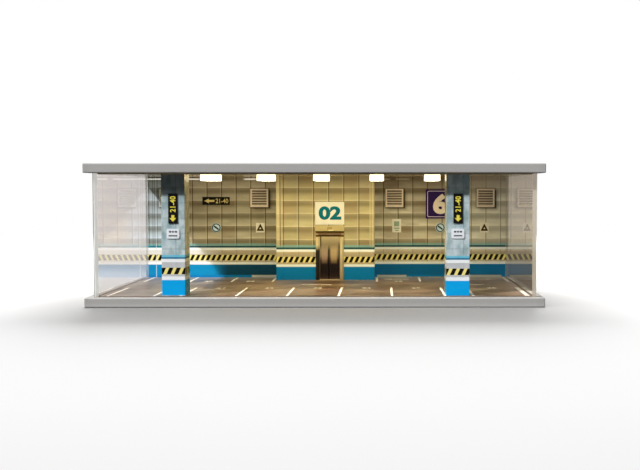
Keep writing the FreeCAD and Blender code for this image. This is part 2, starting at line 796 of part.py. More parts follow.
# Switch body with its well, and the rocker on two stub pivots
switch = new_body("switch_body")
switch_z = around("supply_z", "switch_height")
switch_x = around("supply_offset", "switch_width")
add_block(switch, "switch_case", switch_x, ("supply_end", "back_outer"), switch_z)
bezel_x = around("supply_offset", "(switch_width + 2 * bezel_margin)")
bezel_z = around("supply_z", "(switch_height + 2 * bezel_margin)")
add_block(switch, "switch_bezel", bezel_x, ("back_outer", "bezel_face"), bezel_z)
well_x = ("supply_offset - well_half_width", "supply_offset + well_half_width")
well_z = ("supply_z - well_half_height", "supply_z + well_half_height")
cut_block(switch, "switch_well", well_x, ("well_floor", "bezel_face + cut_past"), well_z)
seat_start = ("supply_offset - seat_reach", "pivot_y", "supply_z")
cut_rod(switch, "pivot_seat", seat_start, "pivot_radius + pivot_gap", "2 * seat_reach", "x")
keep(switch, "switch_body")


def rocker_shape():
    """The rocker's outline round its pivot, drawn level and then tilted to its off position."""
    half = size("rocker_length") / 2
    rise = size("rocker_rise")
    dip = rise - size("rocker_dip")
    root = -size("rocker_root")
    shoulder = size("rocker_shoulder")
    centre = FreeCAD.Vector(size("supply_offset"), size("pivot_y"), size("supply_z"))
    outline = [(half, shoulder), (half, rise), (0, dip), (-half, rise), (-half, shoulder), (0, root)]
    corners = [FreeCAD.Vector(-size("rocker_half_width"), y, z) for z, y in outline]
    face = Part.Face(Part.makePolygon(corners + corners[:1]))
    level = face.extrude(FreeCAD.Vector(2 * size("rocker_half_width"), 0, 0))
    reach = size("pivot_reach")
    start = FreeCAD.Vector(-reach, 0, 0)
    pivot = Part.makeCylinder(size("pivot_radius"), 2 * reach, start, FreeCAD.Vector(1, 0, 0))
    shape = level.fuse(pivot).removeSplitter()
    shape.rotate(FreeCAD.Vector(), FreeCAD.Vector(1, 0, 0), -size("rocker_angle"))
    shape.translate(centre)
    return shape.Solids[0]


rocker = doc.addObject("Part::Feature", "switch_rocker")
rocker.Shape = rocker_shape()
keep(rocker, "switch_rocker")


# The share of its shorter run that an arc takes at a wire's corner
ARC_SHARE = 0.45
# The most that a wire's volume may differ from its section times its length
VOLUME_ERROR = 0.01


def bent_line(points):
    """Straight runs joined by tangent arcs, each as large as its two runs allow."""
    edges = []
    start = points[0]
    for before, corner, after in zip(points, points[1:], points[2:]):
        back = before - corner
        ahead = after - corner
        half_turn = (math.pi - back.getAngle(ahead)) / 2
        cut_back = ARC_SHARE * min(back.Length, ahead.Length)
        radius = cut_back / math.tan(half_turn)
        print(f"wire bend radius {radius:.2f}")
        back.normalize()
        ahead.normalize()
        first = corner + back * cut_back
        last = corner + ahead * cut_back
        inward = (back + ahead).normalize()
        middle = corner + inward * (radius / math.cos(half_turn) - radius)
        edges.append(Part.LineSegment(start, first).toShape())
        edges.append(Part.Arc(first, middle, last).toShape())
        start = last
    edges.append(Part.LineSegment(start, points[-1]).toShape())
    return Part.Wire(edges)


def wire_solid(points, radius):
    """A round wire along a bent line, with its volume checked against its length."""
    line = bent_line(points)
    ring = Part.Wire(Part.makeCircle(radius, points[0], points[1] - points[0]))
    solid = line.makePipeShell([ring], True, False)
    expected = math.pi * radius * radius * line.Length
    if abs(solid.Volume - expected) > VOLUME_ERROR * expected:
        raise ValueError("a wire's volume is not its section times its length")
    return solid


# Lamp wires: one run along the roof's channel, a drop to each LED board, and a
# feed that goes back over the core and down to the driver board
run_z = size("wire_z")
run_y = size("hall_middle")
run_end = 2 * size("lamp_pitch") + size("wire_radius")
run_start = FreeCAD.Vector(-run_end, run_y, run_z)
harness = Part.makeCylinder(size("wire_radius"), 2 * run_end, run_start, FreeCAD.Vector(1, 0, 0))
for step in lamp_steps:
    foot = FreeCAD.Vector(step * size("lamp_pitch"), run_y, size("ceiling_under"))
    drop = Part.makeCylinder(size("drop_radius"), run_z - size("ceiling_under"), foot)
    harness = harness.fuse(drop)
feed_points = [
    FreeCAD.Vector(size("feed_offset"), run_y, run_z),
    FreeCAD.Vector(size("feed_offset"), size("wire_plane"), run_z),
    FreeCAD.Vector(size("feed_offset"), size("wire_plane"), size("circuit_high") + size("terminal_reach")),
]
harness = harness.fuse(wire_solid(feed_points, size("feed_radius")))
lamp_wiring = doc.addObject("Part::Feature", "lamp_wiring")
lamp_wiring.Shape = harness.Solids[0]
keep(lamp_wiring, "lamp_wiring")

# Supply leads: from the inlet and from the switch up to the driver board. Half
# way up a lead turns back to the board, which it meets at three quarters
leads = []
lead_low = size("supply_z")
lead_top = size("circuit_low") - size("terminal_reach")
lead_half = (lead_low + lead_top) / 2
lead_last = (lead_half + lead_top) / 2
lead_front = size("supply_end") - size("lead_room")
for x in (-size("supply_offset"), size("supply_offset")):
    lead_points = [
        FreeCAD.Vector(x, size("supply_end"), lead_low),
        FreeCAD.Vector(x, lead_front, lead_low),
        FreeCAD.Vector(x, lead_front, lead_half),
        FreeCAD.Vector(x, size("wire_plane"), lead_last),
        FreeCAD.Vector(x, size("wire_plane"), lead_top),
    ]
    leads.append(wire_solid(lead_points, size("lead_radius")))
supply_wiring = doc.addObject("Part::Feature", "supply_wiring")
supply_wiring.Shape = Part.makeCompound(leads)
keep(supply_wiring, "supply_wiring")

# The screws themselves
for name, face, along in (("base_screw", "0", "z"), ("roof_screw", "case_height", "down")):
    screws = [screw(f"{name}_{number}", x, y, face, along) for number, (x, y) in enumerate(screw_spots)]
    keep(group(name + "s", screws), name + "s")

# Check every object and write each piece to its own file
doc.recompute()
for item in doc.Objects:
    if "Invalid" in item.State or "Error" in item.State:
        raise ValueError(f"{item.Name} failed: {item.State}")
os.makedirs("parts", exist_ok=True)
for piece in pieces:
    shape = piece.Shape
    if shape.isNull() or not shape.isValid() or not shape.Solids:
        raise ValueError(f"{piece.Label} has no valid solid")
    shape.exportStep(f"parts/{piece.Label}.step")
    print(f"{piece.Label}: {len(shape.Solids)} solid, {shape.Volume:.1f} mm3")
print(f"{len(pieces)} pieces")
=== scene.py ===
import json
import math

import bpy
import numpy as np
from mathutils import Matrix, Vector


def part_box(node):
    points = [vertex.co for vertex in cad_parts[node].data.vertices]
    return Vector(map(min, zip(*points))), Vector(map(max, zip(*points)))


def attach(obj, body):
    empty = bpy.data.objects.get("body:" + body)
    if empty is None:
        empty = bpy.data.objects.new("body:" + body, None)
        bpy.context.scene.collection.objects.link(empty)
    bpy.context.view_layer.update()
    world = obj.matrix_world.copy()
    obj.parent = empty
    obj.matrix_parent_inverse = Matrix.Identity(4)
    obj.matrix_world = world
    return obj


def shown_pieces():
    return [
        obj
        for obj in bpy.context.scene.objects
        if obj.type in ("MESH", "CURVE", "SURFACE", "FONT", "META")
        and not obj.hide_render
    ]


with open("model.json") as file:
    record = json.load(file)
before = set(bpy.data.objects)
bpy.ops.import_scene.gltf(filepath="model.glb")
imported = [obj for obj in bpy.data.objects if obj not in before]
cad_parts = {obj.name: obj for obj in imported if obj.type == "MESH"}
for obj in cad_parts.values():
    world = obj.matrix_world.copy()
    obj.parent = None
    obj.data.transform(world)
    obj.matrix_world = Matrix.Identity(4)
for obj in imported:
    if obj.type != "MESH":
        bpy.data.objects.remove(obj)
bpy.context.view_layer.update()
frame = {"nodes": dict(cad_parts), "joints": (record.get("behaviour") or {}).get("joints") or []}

# Base board: a 7.5 mm board sprayed satin grey on every face, its edges eased before painting.
# It carries the whole case and lies flat on the table, without feet.


def feed(tree, entry, value):
    """Links a Socket to an entry of a node, or writes a plain value into it."""
    if isinstance(value, Socket):
        tree.links.new(value.output, entry)
    else:
        entry.default_value = value


class Socket:
    """An output inside a material, used as in plain Python: each operator adds its Math node."""

    def __init__(self, tree, output):
        self.tree = tree
        self.output = output

    def maths(self, operation, *others):
        """A Math node on this value and the others, in that order."""
        node = self.tree.nodes.new("ShaderNodeMath")
        node.operation = operation
        for entry, value in zip(node.inputs, (self, *others)):
            feed(self.tree, entry, value)
        return Socket(self.tree, node.outputs[0])

    def __add__(self, other):
        return self.maths("ADD", other)

    def __sub__(self, other):
        return self.maths("SUBTRACT", other)

    def __rsub__(self, other):
        return self.maths("MULTIPLY_ADD", -1, other)

    def __mul__(self, other):
        return self.maths("MULTIPLY", other)

    def __truediv__(self, other):
        return self.maths("DIVIDE", other)

    def __lt__(self, other):
        return self.maths("LESS_THAN", other)

    def __gt__(self, other):
        return self.maths("GREATER_THAN", other)

    __radd__ = __add__
    __rmul__ = __mul__

    def rise(self, start, end):
        """0 up to start, 1 from end on, and a straight climb in between; end may be the lower one."""
        node = self.tree.nodes.new("ShaderNodeMapRange")
        for entry, value in zip(node.inputs, (self, start, end, 0.0, 1.0)):
            feed(self.tree, entry, value)
        return Socket(self.tree, node.outputs[0])

    def within(self, low, high, soft):
        """1 between low and high and 0 outside, with both edges soft over the width soft."""
        return self.rise(low - soft / 2, low + soft / 2) * self.rise(high + soft / 2, high - soft / 2)

    def every(self, start, pitch):
        """The distance to the nearest line of a row of lines, the first at start, one pitch apart."""
        return (self - start).maths("PINGPONG", pitch / 2)


def tint(red, green, blue):
    """The linear colour of a screen colour from 0 to 255: each share of 255 to the power 2.2."""
    return (*((np.array([red, green, blue]) / 255) ** 2.2).tolist(), 1.0)


class Nodes:
    """The node tree of a material or of the world."""

    def __init__(self, tree):
        self.tree = tree

    def node(self, kind, settings=(), sockets=(), output=0):
        """Adds a node of any kind: its settings first, then the values or links of its sockets."""
        node = self.tree.nodes.new(kind)
        for name, value in dict(settings).items():
            if name == "stops":
                while len(node.color_ramp.elements) < len(value):
                    node.color_ramp.elements.new(1.0)
                for element, (position, colour) in zip(node.color_ramp.elements, value):
                    element.position = position
                    element.color = colour
            else:
                setattr(node, name, value)
        for name, value in dict(sockets).items():
            feed(self.tree, node.inputs[name], value)
        return Socket(self.tree, node.outputs[output])

    def mix(self, share, first, second, blend="MIX"):
        """A colour that goes from first to second as share goes from 0 to 1."""
        settings = {"data_type": "RGBA", "blend_type": blend}
        return self.node("ShaderNodeMix", settings, {0: share, 6: first, 7: second}, 2)


class Finish(Nodes):
    """A material with one Principled shader; fixed holds its sockets that are the same all over."""

    def __init__(self, name, fixed):
        self.material = bpy.data.materials.new(name)
        self.material.use_nodes = True
        super().__init__(self.material.node_tree)
        self.shader = self.tree.nodes["Principled BSDF"]
        self.give(fixed)
        self.place = self.node("ShaderNodeTexCoord", output="Object")
        scale = {0: self.place, "Scale": 1000}
        millimetres = self.node("ShaderNodeVectorMath", {"operation": "SCALE"}, scale)
        self.x, self.y, self.z = (
            self.node("ShaderNodeSeparateXYZ", sockets={0: millimetres}, output=axis) for axis in "XYZ"
        )

    def give(self, values):
        """Sets or links sockets of the shader by name."""
        for name, value in values.items():
            feed(self.tree, self.shader.inputs[name], value)

    def noise(self, size, stretch=(1, 1, 1), detail=2.0):
        """Cloudy noise from 0 to 1 with patches about size mm wide, stretched along the axes."""
        scaled = [1000 / size / share for share in stretch]
        place = self.node("ShaderNodeVectorMath", {"operation": "MULTIPLY"}, {0: self.place, 1: scaled})
        return self.node("ShaderNodeTexNoise", sockets={"Vector": place, "Scale": 1.0, "Detail": detail})

    def relief(self, height, depth):
        """Bump from a height between 0 and 1, its full depth given in mm."""
        sockets = {"Height": height, "Distance": depth / 1000, "Strength": 1.0}
        self.give({"Normal": self.node("ShaderNodeBump", sockets=sockets)})


def coat(finish, *names):
    """Gives a finish to the shown faces of some solids of the frame."""
    for name in names:
        for holder in frame["nodes"][name].material_slots:
            holder.material = finish.material


def corners(node):
    """The lowest and the highest corner of a solid of the frame, in mm."""
    return [np.array(corner) * 1000 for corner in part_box(node)]


BOARD_END = corners("base_board")[1][0]
board_paint = Finish("board_paint", {"IOR": 1.46})
board_fleck = board_paint.noise(0.9)
board_cloud = board_paint.noise(55, detail=3)
# Painted shade: both boards are darkened within 8 mm of their ends, where their sides fall in shade.
board_end_shade = board_paint.x.maths("ABSOLUTE").rise(BOARD_END - 8, BOARD_END) * 0.25
board_grey = board_paint.mix(board_fleck, tint(156, 155, 153), tint(167, 166, 164))
board_grey = board_paint.mix(board_cloud * 0.35, board_grey, tint(147, 146, 145))
# Painted light: the board is paler towards its foot, standing for light bounced up from the table.
board_grey = board_paint.mix(board_paint.z.rise(4, 0) * 0.5, board_grey, tint(196, 195, 193))
board_paint.give({"Base Color": board_paint.mix(board_end_shade, board_grey, tint(138, 136, 135))})
board_paint.give({"Roughness": 0.42 + 0.12 * board_cloud})
board_paint.relief(board_paint.noise(1.6), 0.012)
coat(board_paint, "base_board")

# Floor sheet: a digital print of worn asphalt under a satin film, laid on the base board.
# The bay lines, numbers and arrows are printed with it; here they are a film's thickness proud.

BAY_START, BAY_PITCH = -85.4, 41.7
asphalt = Finish("asphalt_print", {"IOR": 1.45})
grit = asphalt.noise(0.7, detail=4)
stains = asphalt.noise(26, (1.6, 1, 1), detail=4)
rust = asphalt.noise(10, (2, 1, 1), detail=3)
asphalt_grey = asphalt.mix(grit.rise(0.3, 0.7), tint(106, 97, 90), tint(154, 142, 130))
asphalt_grey = asphalt.mix(stains.rise(0.46, 0.6) * 0.8, asphalt_grey, tint(76, 63, 56))
asphalt_grey = asphalt.mix(rust.rise(0.48, 0.66) * 0.4, asphalt_grey, tint(144, 108, 90))
# Painted reflection: the asphalt is paler and bluish towards the wall, the wall's blue foot mirrored in its
# film.
asphalt_grey = asphalt.mix(asphalt.y.rise(45, 78) * 0.5, asphalt_grey, tint(166, 164, 178))
brown = asphalt.x.rise(-150, -70) * asphalt.y.rise(75, 50)
asphalt_grey = asphalt.mix(brown, asphalt_grey, (0.98, 0.8, 0.6, 1), "MULTIPLY")
wheel_marks = asphalt.x.every(BAY_START, BAY_PITCH).rise(4, 15)
asphalt.give({"Base Color": asphalt.mix(wheel_marks * 0.15, asphalt_grey, tint(80, 70, 64))})
asphalt.give({"Roughness": 0.25 + 0.12 * grit})
asphalt.relief(grit, 0.02)
coat(asphalt, "floor_sheet")

FILM = 0.06
line_paint = Finish("line_paint", {"IOR": 1.45})
line_wear = line_paint.noise(1.4, detail=4).rise(0.36, 0.52)
line_paint.give({"Base Color": line_paint.mix(line_wear, tint(196, 184, 172), tint(255, 252, 246))})
line_paint.give({"Roughness": 0.4 + 0.1 * line_wear})


def new_piece(name, points, faces, finish, body="case"):
    """A mesh from points in mm and faces by their numbers, riding on a body of the frame."""
    mesh = bpy.data.meshes.new(name)
    mesh.from_pydata((np.asarray(points, float) / 1000).tolist(), [], faces)
    mesh.materials.append(finish.material)
    piece = bpy.data.objects.new(name, mesh)
    bpy.context.scene.collection.objects.link(piece)
    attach(piece, body)
    return piece


def on_plane(flat, height, origin, right, up):
    """Points of a plane: origin plus right times the first number and up times the second, then outwards
    by height along right crossed with up."""
    right, up = np.array(right, float), np.array(up, float)
    flat = np.asarray(flat, float)
    return np.array(origin) + flat[:, :1] * right + flat[:, 1:] * up + height * np.cross(right, up)


def flat_marks(name, outlines, finish, slot, origin, right, up, body="case"):
    """Flat closed marks, one per outline, turning left. Each outline stands on the plane and again one film
    above it; its top is one face, its bottom the same turned over, and every side joins two neighbouring
    points."""
    points, faces, first = [], [], 0
    for outline in outlines:
        count = len(outline)
        points.append(on_plane(outline, 0, origin, right, up))
        points.append(on_plane(outline, FILM, origin, right, up))
        low = first + np.arange(count)
        high = low + count
        faces.append(low[::-1].tolist())
        faces.append(high.tolist())
        faces += np.column_stack([low, np.roll(low, -1), np.roll(high, -1), high]).tolist()
        first += 2 * count
    new_piece(name, np.concatenate(points), faces, finish, body)


def bar(low_x, low_y, high_x, high_y):
    """An upright rectangle's outline, turning left from its lowest corner."""
    return np.array([[low_x, low_y], [high_x, low_y], [high_x, high_y], [low_x, high_y]])


def arrow(length, width, head, shaft):
    """An arrow's outline, turning left: from its tip at the origin along its head, as wide as width and as
    deep as head, to the tail of its shaft at +length, and back."""
    half, thin = width / 2, shaft / 2
    back = [[head, -half], [head, -thin], [length, -thin]]
    return np.array([[0, 0], *back, [length, thin], [head, thin], [head, half]])


floor_top = corners("floor_sheet")[1][2]
FLOOR = ((0, 0, floor_top), (1, 0, 0), (0, 1, 0))
LINE = 1.9
FRONT_FOOT, FRONT_TOP = -84.5, -18
REAR_FOOT, REAR_TOP = 36, 79.4
LANE_FOOT, LANE_TOP = 7.4, 9.4
ARROW = np.array([25, 7, 9, 2.4])
ARROW_TIPS = [52.5, 60], [159.5, 60]
FRONT_PLACES = [-164.5, -128, -106.3, -63, -22.9, 18, 60.3, 102.4, 124.9]
REAR_PLACES = [-164.5, -123, -85, -47.7, 47.7, 87.5, 127, 168]
bay_lines = [bar(x - LINE / 2, FRONT_FOOT, x + LINE / 2, FRONT_TOP) for x in FRONT_PLACES]
bay_lines += [bar(x - LINE / 2, REAR_FOOT, x + LINE / 2, REAR_TOP) for x in REAR_PLACES]
bay_lines += [bar(-18, LANE_FOOT, 8, LANE_TOP), bar(124, LANE_FOOT, 143, LANE_TOP)]
bay_lines += [bar(166.2, FRONT_FOOT, 169.6, FRONT_TOP)]
flat_marks("bay_lines", bay_lines, line_paint, "floor_print", *FLOOR)
floor_arrows = [arrow(*ARROW) + ARROW_TIPS[0], arrow(*-ARROW) + ARROW_TIPS[1]]
flat_marks("floor_arrows", floor_arrows, line_paint, "floor_print", *FLOOR)


def lettering(name, words, size, finish, slot, origin, right, up, weight):
    """Raised numbers: the outlines of plain block figures, laid out at unit size with strokes thickened by
    weight, moved so that their middle is at the origin, stretched to size (width, height) and carried to the
    plane as on_plane does. Their depth of one unit becomes one film."""
    text = bpy.data.curves.new(name, "FONT")
    text.body = words
    text.offset = weight
    text.extrude = 0.5
    text.resolution_u = 4
    holder = bpy.data.objects.new(name + "_outline", text)
    bpy.context.scene.collection.objects.link(holder)
    mesh = bpy.data.meshes.new_from_object(holder.evaluated_get(bpy.context.evaluated_depsgraph_get()))
    bpy.data.objects.remove(holder)
    points = np.zeros(len(mesh.vertices) * 3)
    mesh.vertices.foreach_get("co", points)
    points = points.reshape(-1, 3)
    low, high = points.min(0), points.max(0)
    flat = ((points - (low + high) / 2) / (high - low))[:, :2] * np.array(size)
    placed = on_plane(flat, (points[:, 2:] + 0.5) * FILM, origin, right, up)
    faces = [list(face.vertices) for face in mesh.polygons]
    bpy.data.meshes.remove(mesh)
    weld = new_piece(name, placed, faces, finish).modifiers.new("weld", "WELD")
    weld.merge_threshold = 1e-6


FRONT_NUMBERS, REAR_NUMBERS = -22, 39.5
bay_centres = [(x, FRONT_NUMBERS) for x in (BAY_START, -43.7, -2.5, 39.2, 81.4, 146)]
bay_centres += [(x, REAR_NUMBERS) for x in (-106, -68, 67.6)]
for number, (across, deep) in enumerate(bay_centres, start=21):
    spot = ((across, deep, floor_top), *FLOOR[1:])
    lettering(f"bay_number_{number}", str(number), (7.4, 8), line_paint, "floor_print", *spot, weight=0.02)

# Rear wall: two printed panels of stacked concrete blocks, with a painted dado, glued to a grey back board.
# The print shades each course: light at its foot, darkest above its middle, and paler again at its top.

COURSE = 12.1
COURSE_START = 45.2
HAZARD_SLOPE, HAZARD_PITCH = 0.46, 5.1
SATIN_FILM = {"IOR": 1.45, "Specular IOR Level": 0.18}
WALL_DADO = [
    (38.2, 40.4, tint(104, 178, 184), 0.65),
    (36.5, 38.3, tint(0, 76, 90), 0.97),
    (34.2, 36.5, tint(250, 255, 255), 1.0),
    (22.8, 34.2, tint(200, 182, 152), 0.6),
    (24.3, 29.6, "hazard", 1.0),
    (20.2, 22.6, tint(250, 255, 255), 1.0),
    (8.0, 20.2, tint(0, 127, 196), 1.0),
]
WHEEL_STOPS = [(-72, -48), (48, 76), (136, 167)]
BAR_LEVEL = (101.2, 102.6)
CEILING_BARS = [(-171, -138, 1.0), (-133, -121, 1.0), (-79, -67, 0.8), (54, 60, 0.4), (66, 79, 0.3)]
GLOWING = (-171, -67)
# Painted light: the lamps' warm cast, multiplied into the wall prints and the lift's steel.
LAMP_WARM_CAST = (1.0, 0.93, 0.83, 1)
DARK_LINES = (-166.2, -164.4, -161.8)
REFLECTED_LINE = -163.2


def block_print(finish, across, joints, shades, strength):
    """Stacked blocks. Each course darkens slowly from its foot, drops above its middle and clears a little to
    its top, between the light and the dark one of shades. A light line parts the courses, and a brown joint
    with a pale edge stands at every line of joints, a start and a pitch. Each block has a tint of its own by
    its row and column, and noise gives the cement its clouds and grains. The lower part is paler, and all but
    the far left carries a painted warm cast of the lamps' light, which the daylit far left lacks."""
    light, dark = shades
    start, pitch = joints
    level = finish.z - COURSE_START + 1.4 * finish.noise(24, (1, 1, 2)) - 0.7
    course = level.maths("FLOORED_MODULO", COURSE)
    cell = {0: ((across - start) / pitch).maths("FLOOR"), 1: (level / COURSE).maths("FLOOR")}
    cell = finish.node("ShaderNodeCombineXYZ", sockets=cell)
    own = finish.node("ShaderNodeTexWhiteNoise", {"noise_dimensions": "2D"}, {"Vector": cell})
    shade = course.rise(1, 6) * 0.35 + course.rise(5.6, 8.2) * 0.65 - course.rise(9.6, COURSE) * 0.35
    cloud = finish.noise(11, (1.5, 1, 0.45), detail=3)
    grain = finish.noise(0.9, (1, 1, 2.4), detail=3)
    warmth = finish.noise(19, (1, 1, 1.6))
    colour = finish.mix(shade * 0.9 * strength, tint(*light), tint(*dark))
    colour = finish.mix(cloud.rise(0.35, 0.7) * 0.4 * strength, colour, tint(136, 132, 114))
    colour = finish.mix(warmth.rise(0.5, 0.75) * 0.22, colour, tint(204, 172, 144))
    colour = finish.mix(own.rise(0.55, 1.0) * 0.42 * strength, colour, tint(136, 112, 88))
    colour = finish.mix(own.rise(0.4, 0.0) * 0.32 * strength, colour, tint(208, 206, 188))
    colour = finish.mix(grain * 0.22, colour, tint(116, 110, 98))
    seam = course.within(0.0, 0.9, 0.5)
    colour = finish.mix(seam * 0.3 * strength, colour, tint(236, 230, 212))
    beside = (across + 1.1).every(start, pitch).rise(0.7, 0.3)
    colour = finish.mix(beside * 0.25 * strength, colour, tint(222, 212, 190))
    joint = across.every(start, pitch).rise(0.6, 0.25)
    colour = finish.mix(joint * 0.75 * strength, colour, tint(52, 44, 32))
    colour = finish.mix(finish.z.rise(68, 48), colour, (1.14, 1.16, 1.17, 1), "MULTIPLY")
    # Painted light: the lamps' warm cast, left out at the daylit far left.
    return finish.mix(finish.x.rise(-158, -144), colour, LAMP_WARM_CAST, "MULTIPLY"), grain


def dado(finish, colour, across, levels, lift, slope=HAZARD_SLOPE, pitch=HAZARD_PITCH):
    """Bands across the foot of a printed wall, all raised by lift. levels gives each band's lower and upper
    edge, colour and cover, and the hazard band is cut by slanted bars: across less height times slope, in
    steps of pitch."""
    height = finish.z - lift
    for low, high, shade, cover in levels:
        if shade == "hazard":
            slanted = across - height * slope
            bars = slanted.maths("FLOORED_MODULO", pitch).within(0.2, 0.6 * pitch, 0.3)
            yellow = finish.mix(finish.noise(6), tint(240, 222, 112), tint(252, 240, 156))
            shade = finish.mix(bars, yellow, tint(8, 6, 5))
        colour = finish.mix(height.within(low, high, 0.25) * cover, colour, shade)
    return colour


def block_sheet(name, axis, joints, shades, marks=None, strength=1.0, lift=0.0):
    """The print of one sheet across an axis: the blocks, then the dado, then the marks that it has alone."""
    finish = Finish(name, SATIN_FILM)
    across = getattr(finish, axis)
    colour, grain = block_print(finish, across, joints, shades, strength)
    colour = dado(finish, colour, across, WALL_DADO, lift)
    if marks:
        colour = marks(finish, colour)
    finish.give({"Base Color": colour, "Roughness": 0.48 + 0.15 * grain})
    finish.relief(grain, 0.01)
    return finish


def ceiling_lights(finish, colour):
    """Pale bars under the ceiling; those between the places of GLOWING also carry a faint painted glow."""
    level = finish.z.within(*BAR_LEVEL, 0.4)
    lights = 0
    for low, high, cover in CEILING_BARS:
        light = finish.x.within(low, high, 3) * level
        colour = finish.mix(light * cover, colour, tint(255, 252, 240))
        lights = light + lights
    # Painted glow: the bars between the places of GLOWING shine faintly, though they are no lamps.
    glow = finish.mix(finish.x.within(*GLOWING, 1) * lights, (0, 0, 0, 1), tint(255, 250, 235))
    finish.give({"Emission Color": glow, "Emission Strength": 0.4})
    return colour


def vent_shades(finish, colour):
    """Painted shadows round each vent: a wide soft one at its right and foot, a thin one all round, and a
    dark one close to its right and foot. Each covers a rectangle from its low to its high distance past the
    vent's corners."""
    shades = [
        ((3, -2.6), (3.2, -3), 3, 0.45, tint(66, 52, 34)),
        ((-1.2, -1.2), (1.8, 1.1), 1, 0.4, tint(60, 44, 24)),
        ((0.8, -1.2), (1.8, -1.2), 1, 0.7, tint(44, 28, 18)),
    ]
    for count in range(1, 5):
        low, high = corners(f"vent_{count}")
        for from_low, from_high, soft, cover, shade in shades:
            wide = finish.x.within(low[0] + from_low[0], high[0] + from_high[0], soft)
            tall = finish.z.within(low[2] + from_low[1], high[2] + from_high[1], soft)
            colour = finish.mix(wide * tall * cover, colour, shade)
    return colour


def foot_marks(finish, colour, rightward, far):
    """Wheel stops, each dark above and pale below, and a blue band with painted light and shade: painted
    vivid at the left, where the key light falls, painted dark towards the core, and painted deeper on the
    right, though less at its far end."""
    for low, high in WHEEL_STOPS:
        stop = finish.x.within(low, high, 1)
        colour = finish.mix(stop * finish.z.within(10.4, 11.4, 0.6) * 0.5, colour, tint(10, 18, 26))
        colour = finish.mix(stop * finish.z.rise(10.6, 10.2), colour, tint(196, 200, 198))
    blue = finish.z.rise(20.5, 20.2) * finish.z.rise(10.2, 10.6)
    # Painted light and shade on the blue band.
    colour = finish.mix(blue * finish.x.rise(-98, -108), colour, tint(0, 142, 206))
    colour = finish.mix(blue * finish.x.within(-102, -40, 14) * 0.85, colour, tint(0, 56, 72))
    return finish.mix(blue * (rightward * 0.85 - far * 0.45), colour, tint(0, 104, 164))


def far_left_marks(finish, colour, above):
    """The end where the daylight falls, painted in: a teal line painted vivid, bands round the hazard one
    painted brighter, blocks above the dado given a painted cool cast, thin upright lines, three dark ones,
    and a pale one that is a painted reflection."""
    # Painted light where the daylight falls.
    vivid = finish.x.rise(-140, -150) * finish.z.within(36.5, 38.6, 0.4)
    colour = finish.mix(vivid * 0.7, colour, tint(0, 140, 160))
    bright = finish.x.rise(-100, -118)
    pale = finish.z.within(30, 34.4, 0.6) + finish.z.within(22.6, 24.2, 0.4)
    colour = finish.mix(bright * pale * 0.75, colour, tint(236, 240, 236))
    colour = finish.mix(bright * finish.z.within(21, 39, 2), colour, (1.1, 1.12, 1.2, 1), "MULTIPLY")
    cool = finish.x.rise(-144, -158) * above
    colour = finish.mix(cool, colour, (0.9, 1.11, 1.54, 1), "MULTIPLY")
    for place in DARK_LINES:
        line = finish.x.within(place - 0.3, place + 0.3, 0.3) * finish.z.rise(37, 38)
        colour = finish.mix(line * 0.6, colour, tint(56, 62, 58))
    # Painted reflection: a pale upright line.
    line = finish.x.within(REFLECTED_LINE - 0.3, REFLECTED_LINE + 0.3, 0.3) * (0.75 - 0.45 * finish.z.rise(37, 42))
    return finish.mix(line, colour, tint(226, 236, 240))


def wall_marks(finish, colour):
    """A left half, darker at mid height and painted brighter at its top as a pool of the lamps' light, and a
    right half with painted shade at its top and painted light at its far end; then the marks at the ceiling,
    round the vents, at the foot and at the far left."""
    rightward = finish.x.rise(-1, 1)
    far = finish.x.rise(114, 142)
    above = finish.z.rise(40, 42)
    colour = finish.mix(finish.z.within(60, 80, 14) * (1 - rightward) * 0.15, colour, tint(70, 64, 44))
    # Painted shade at the top of the right half.
    colour = finish.mix(finish.z.rise(84, 96) * rightward * 0.45, colour, tint(98, 66, 20))
    # Painted light: a pool of the lamps' light at the top of the left half.
    painted_lamp_pool = finish.z.rise(84, 92) * finish.x.within(-134, 0, 12)
    colour = finish.mix(painted_lamp_pool, colour, (1.2, 1.18, 1.22, 1), "MULTIPLY")
    # Painted light at the far right end.
    colour = finish.mix(far * above * 0.2, colour, tint(250, 246, 236))
    colour = finish.mix(far, colour, (1.15, 1.2, 1.25, 1), "MULTIPLY")
    colour = ceiling_lights(finish, colour)
    colour = vent_shades(finish, colour)
    colour = foot_marks(finish, colour, rightward, far)
    return far_left_marks(finish, colour, above)


LEFT_JOINTS, RIGHT_JOINTS = (-58.7, 13.9), (54.0, 14.0)
LEFT_SHADES = (216, 215, 198), (110, 106, 87)
RIGHT_SHADES = (240, 241, 230), (128, 126, 110)
wall_left = block_sheet("wall_print_left", "x", LEFT_JOINTS, LEFT_SHADES, wall_marks)
coat(wall_left, "wall_panel_left")
wall_right = block_sheet("wall_print_right", "x", RIGHT_JOINTS, RIGHT_SHADES, wall_marks, lift=0.6)
coat(wall_right, "wall_panel_right")

board_back = Finish("back_paint", {"IOR": 1.46})
back_cloud = board_back.noise(40, detail=3)
back_fleck = board_back.noise(0.8)
back_grey = board_back.mix(back_cloud, tint(160, 160, 158), tint(172, 171, 169))
board_back.give({"Base Color": board_back.mix(back_fleck * 0.3, back_grey, tint(140, 140, 139))})
board_back.give({"Roughness": 0.48 + 0.12 * back_fleck})
board_back.relief(board_back.noise(1.8), 0.015)
coat(board_back, "back_board")

# Lift core: a box of three printed sheets in front of the wall, with a pale strip glued on each corner.
# It hides the lamps' driver board and its wires.

CORE_JOINTS, SIDE_JOINTS = (-24.9, 14.0), (60.0, 14.0)
CORE_SHADES = (194, 188, 151), (116, 109, 83)
core_print = block_sheet("core_print", "x", CORE_JOINTS, CORE_SHADES, strength=0.9)
coat(core_print, "core_front")
core_side_print = block_sheet("core_side_print", "y", SIDE_JOINTS, CORE_SHADES, strength=0.9)
coat(core_side_print, "core_side_left", "core_side_right")


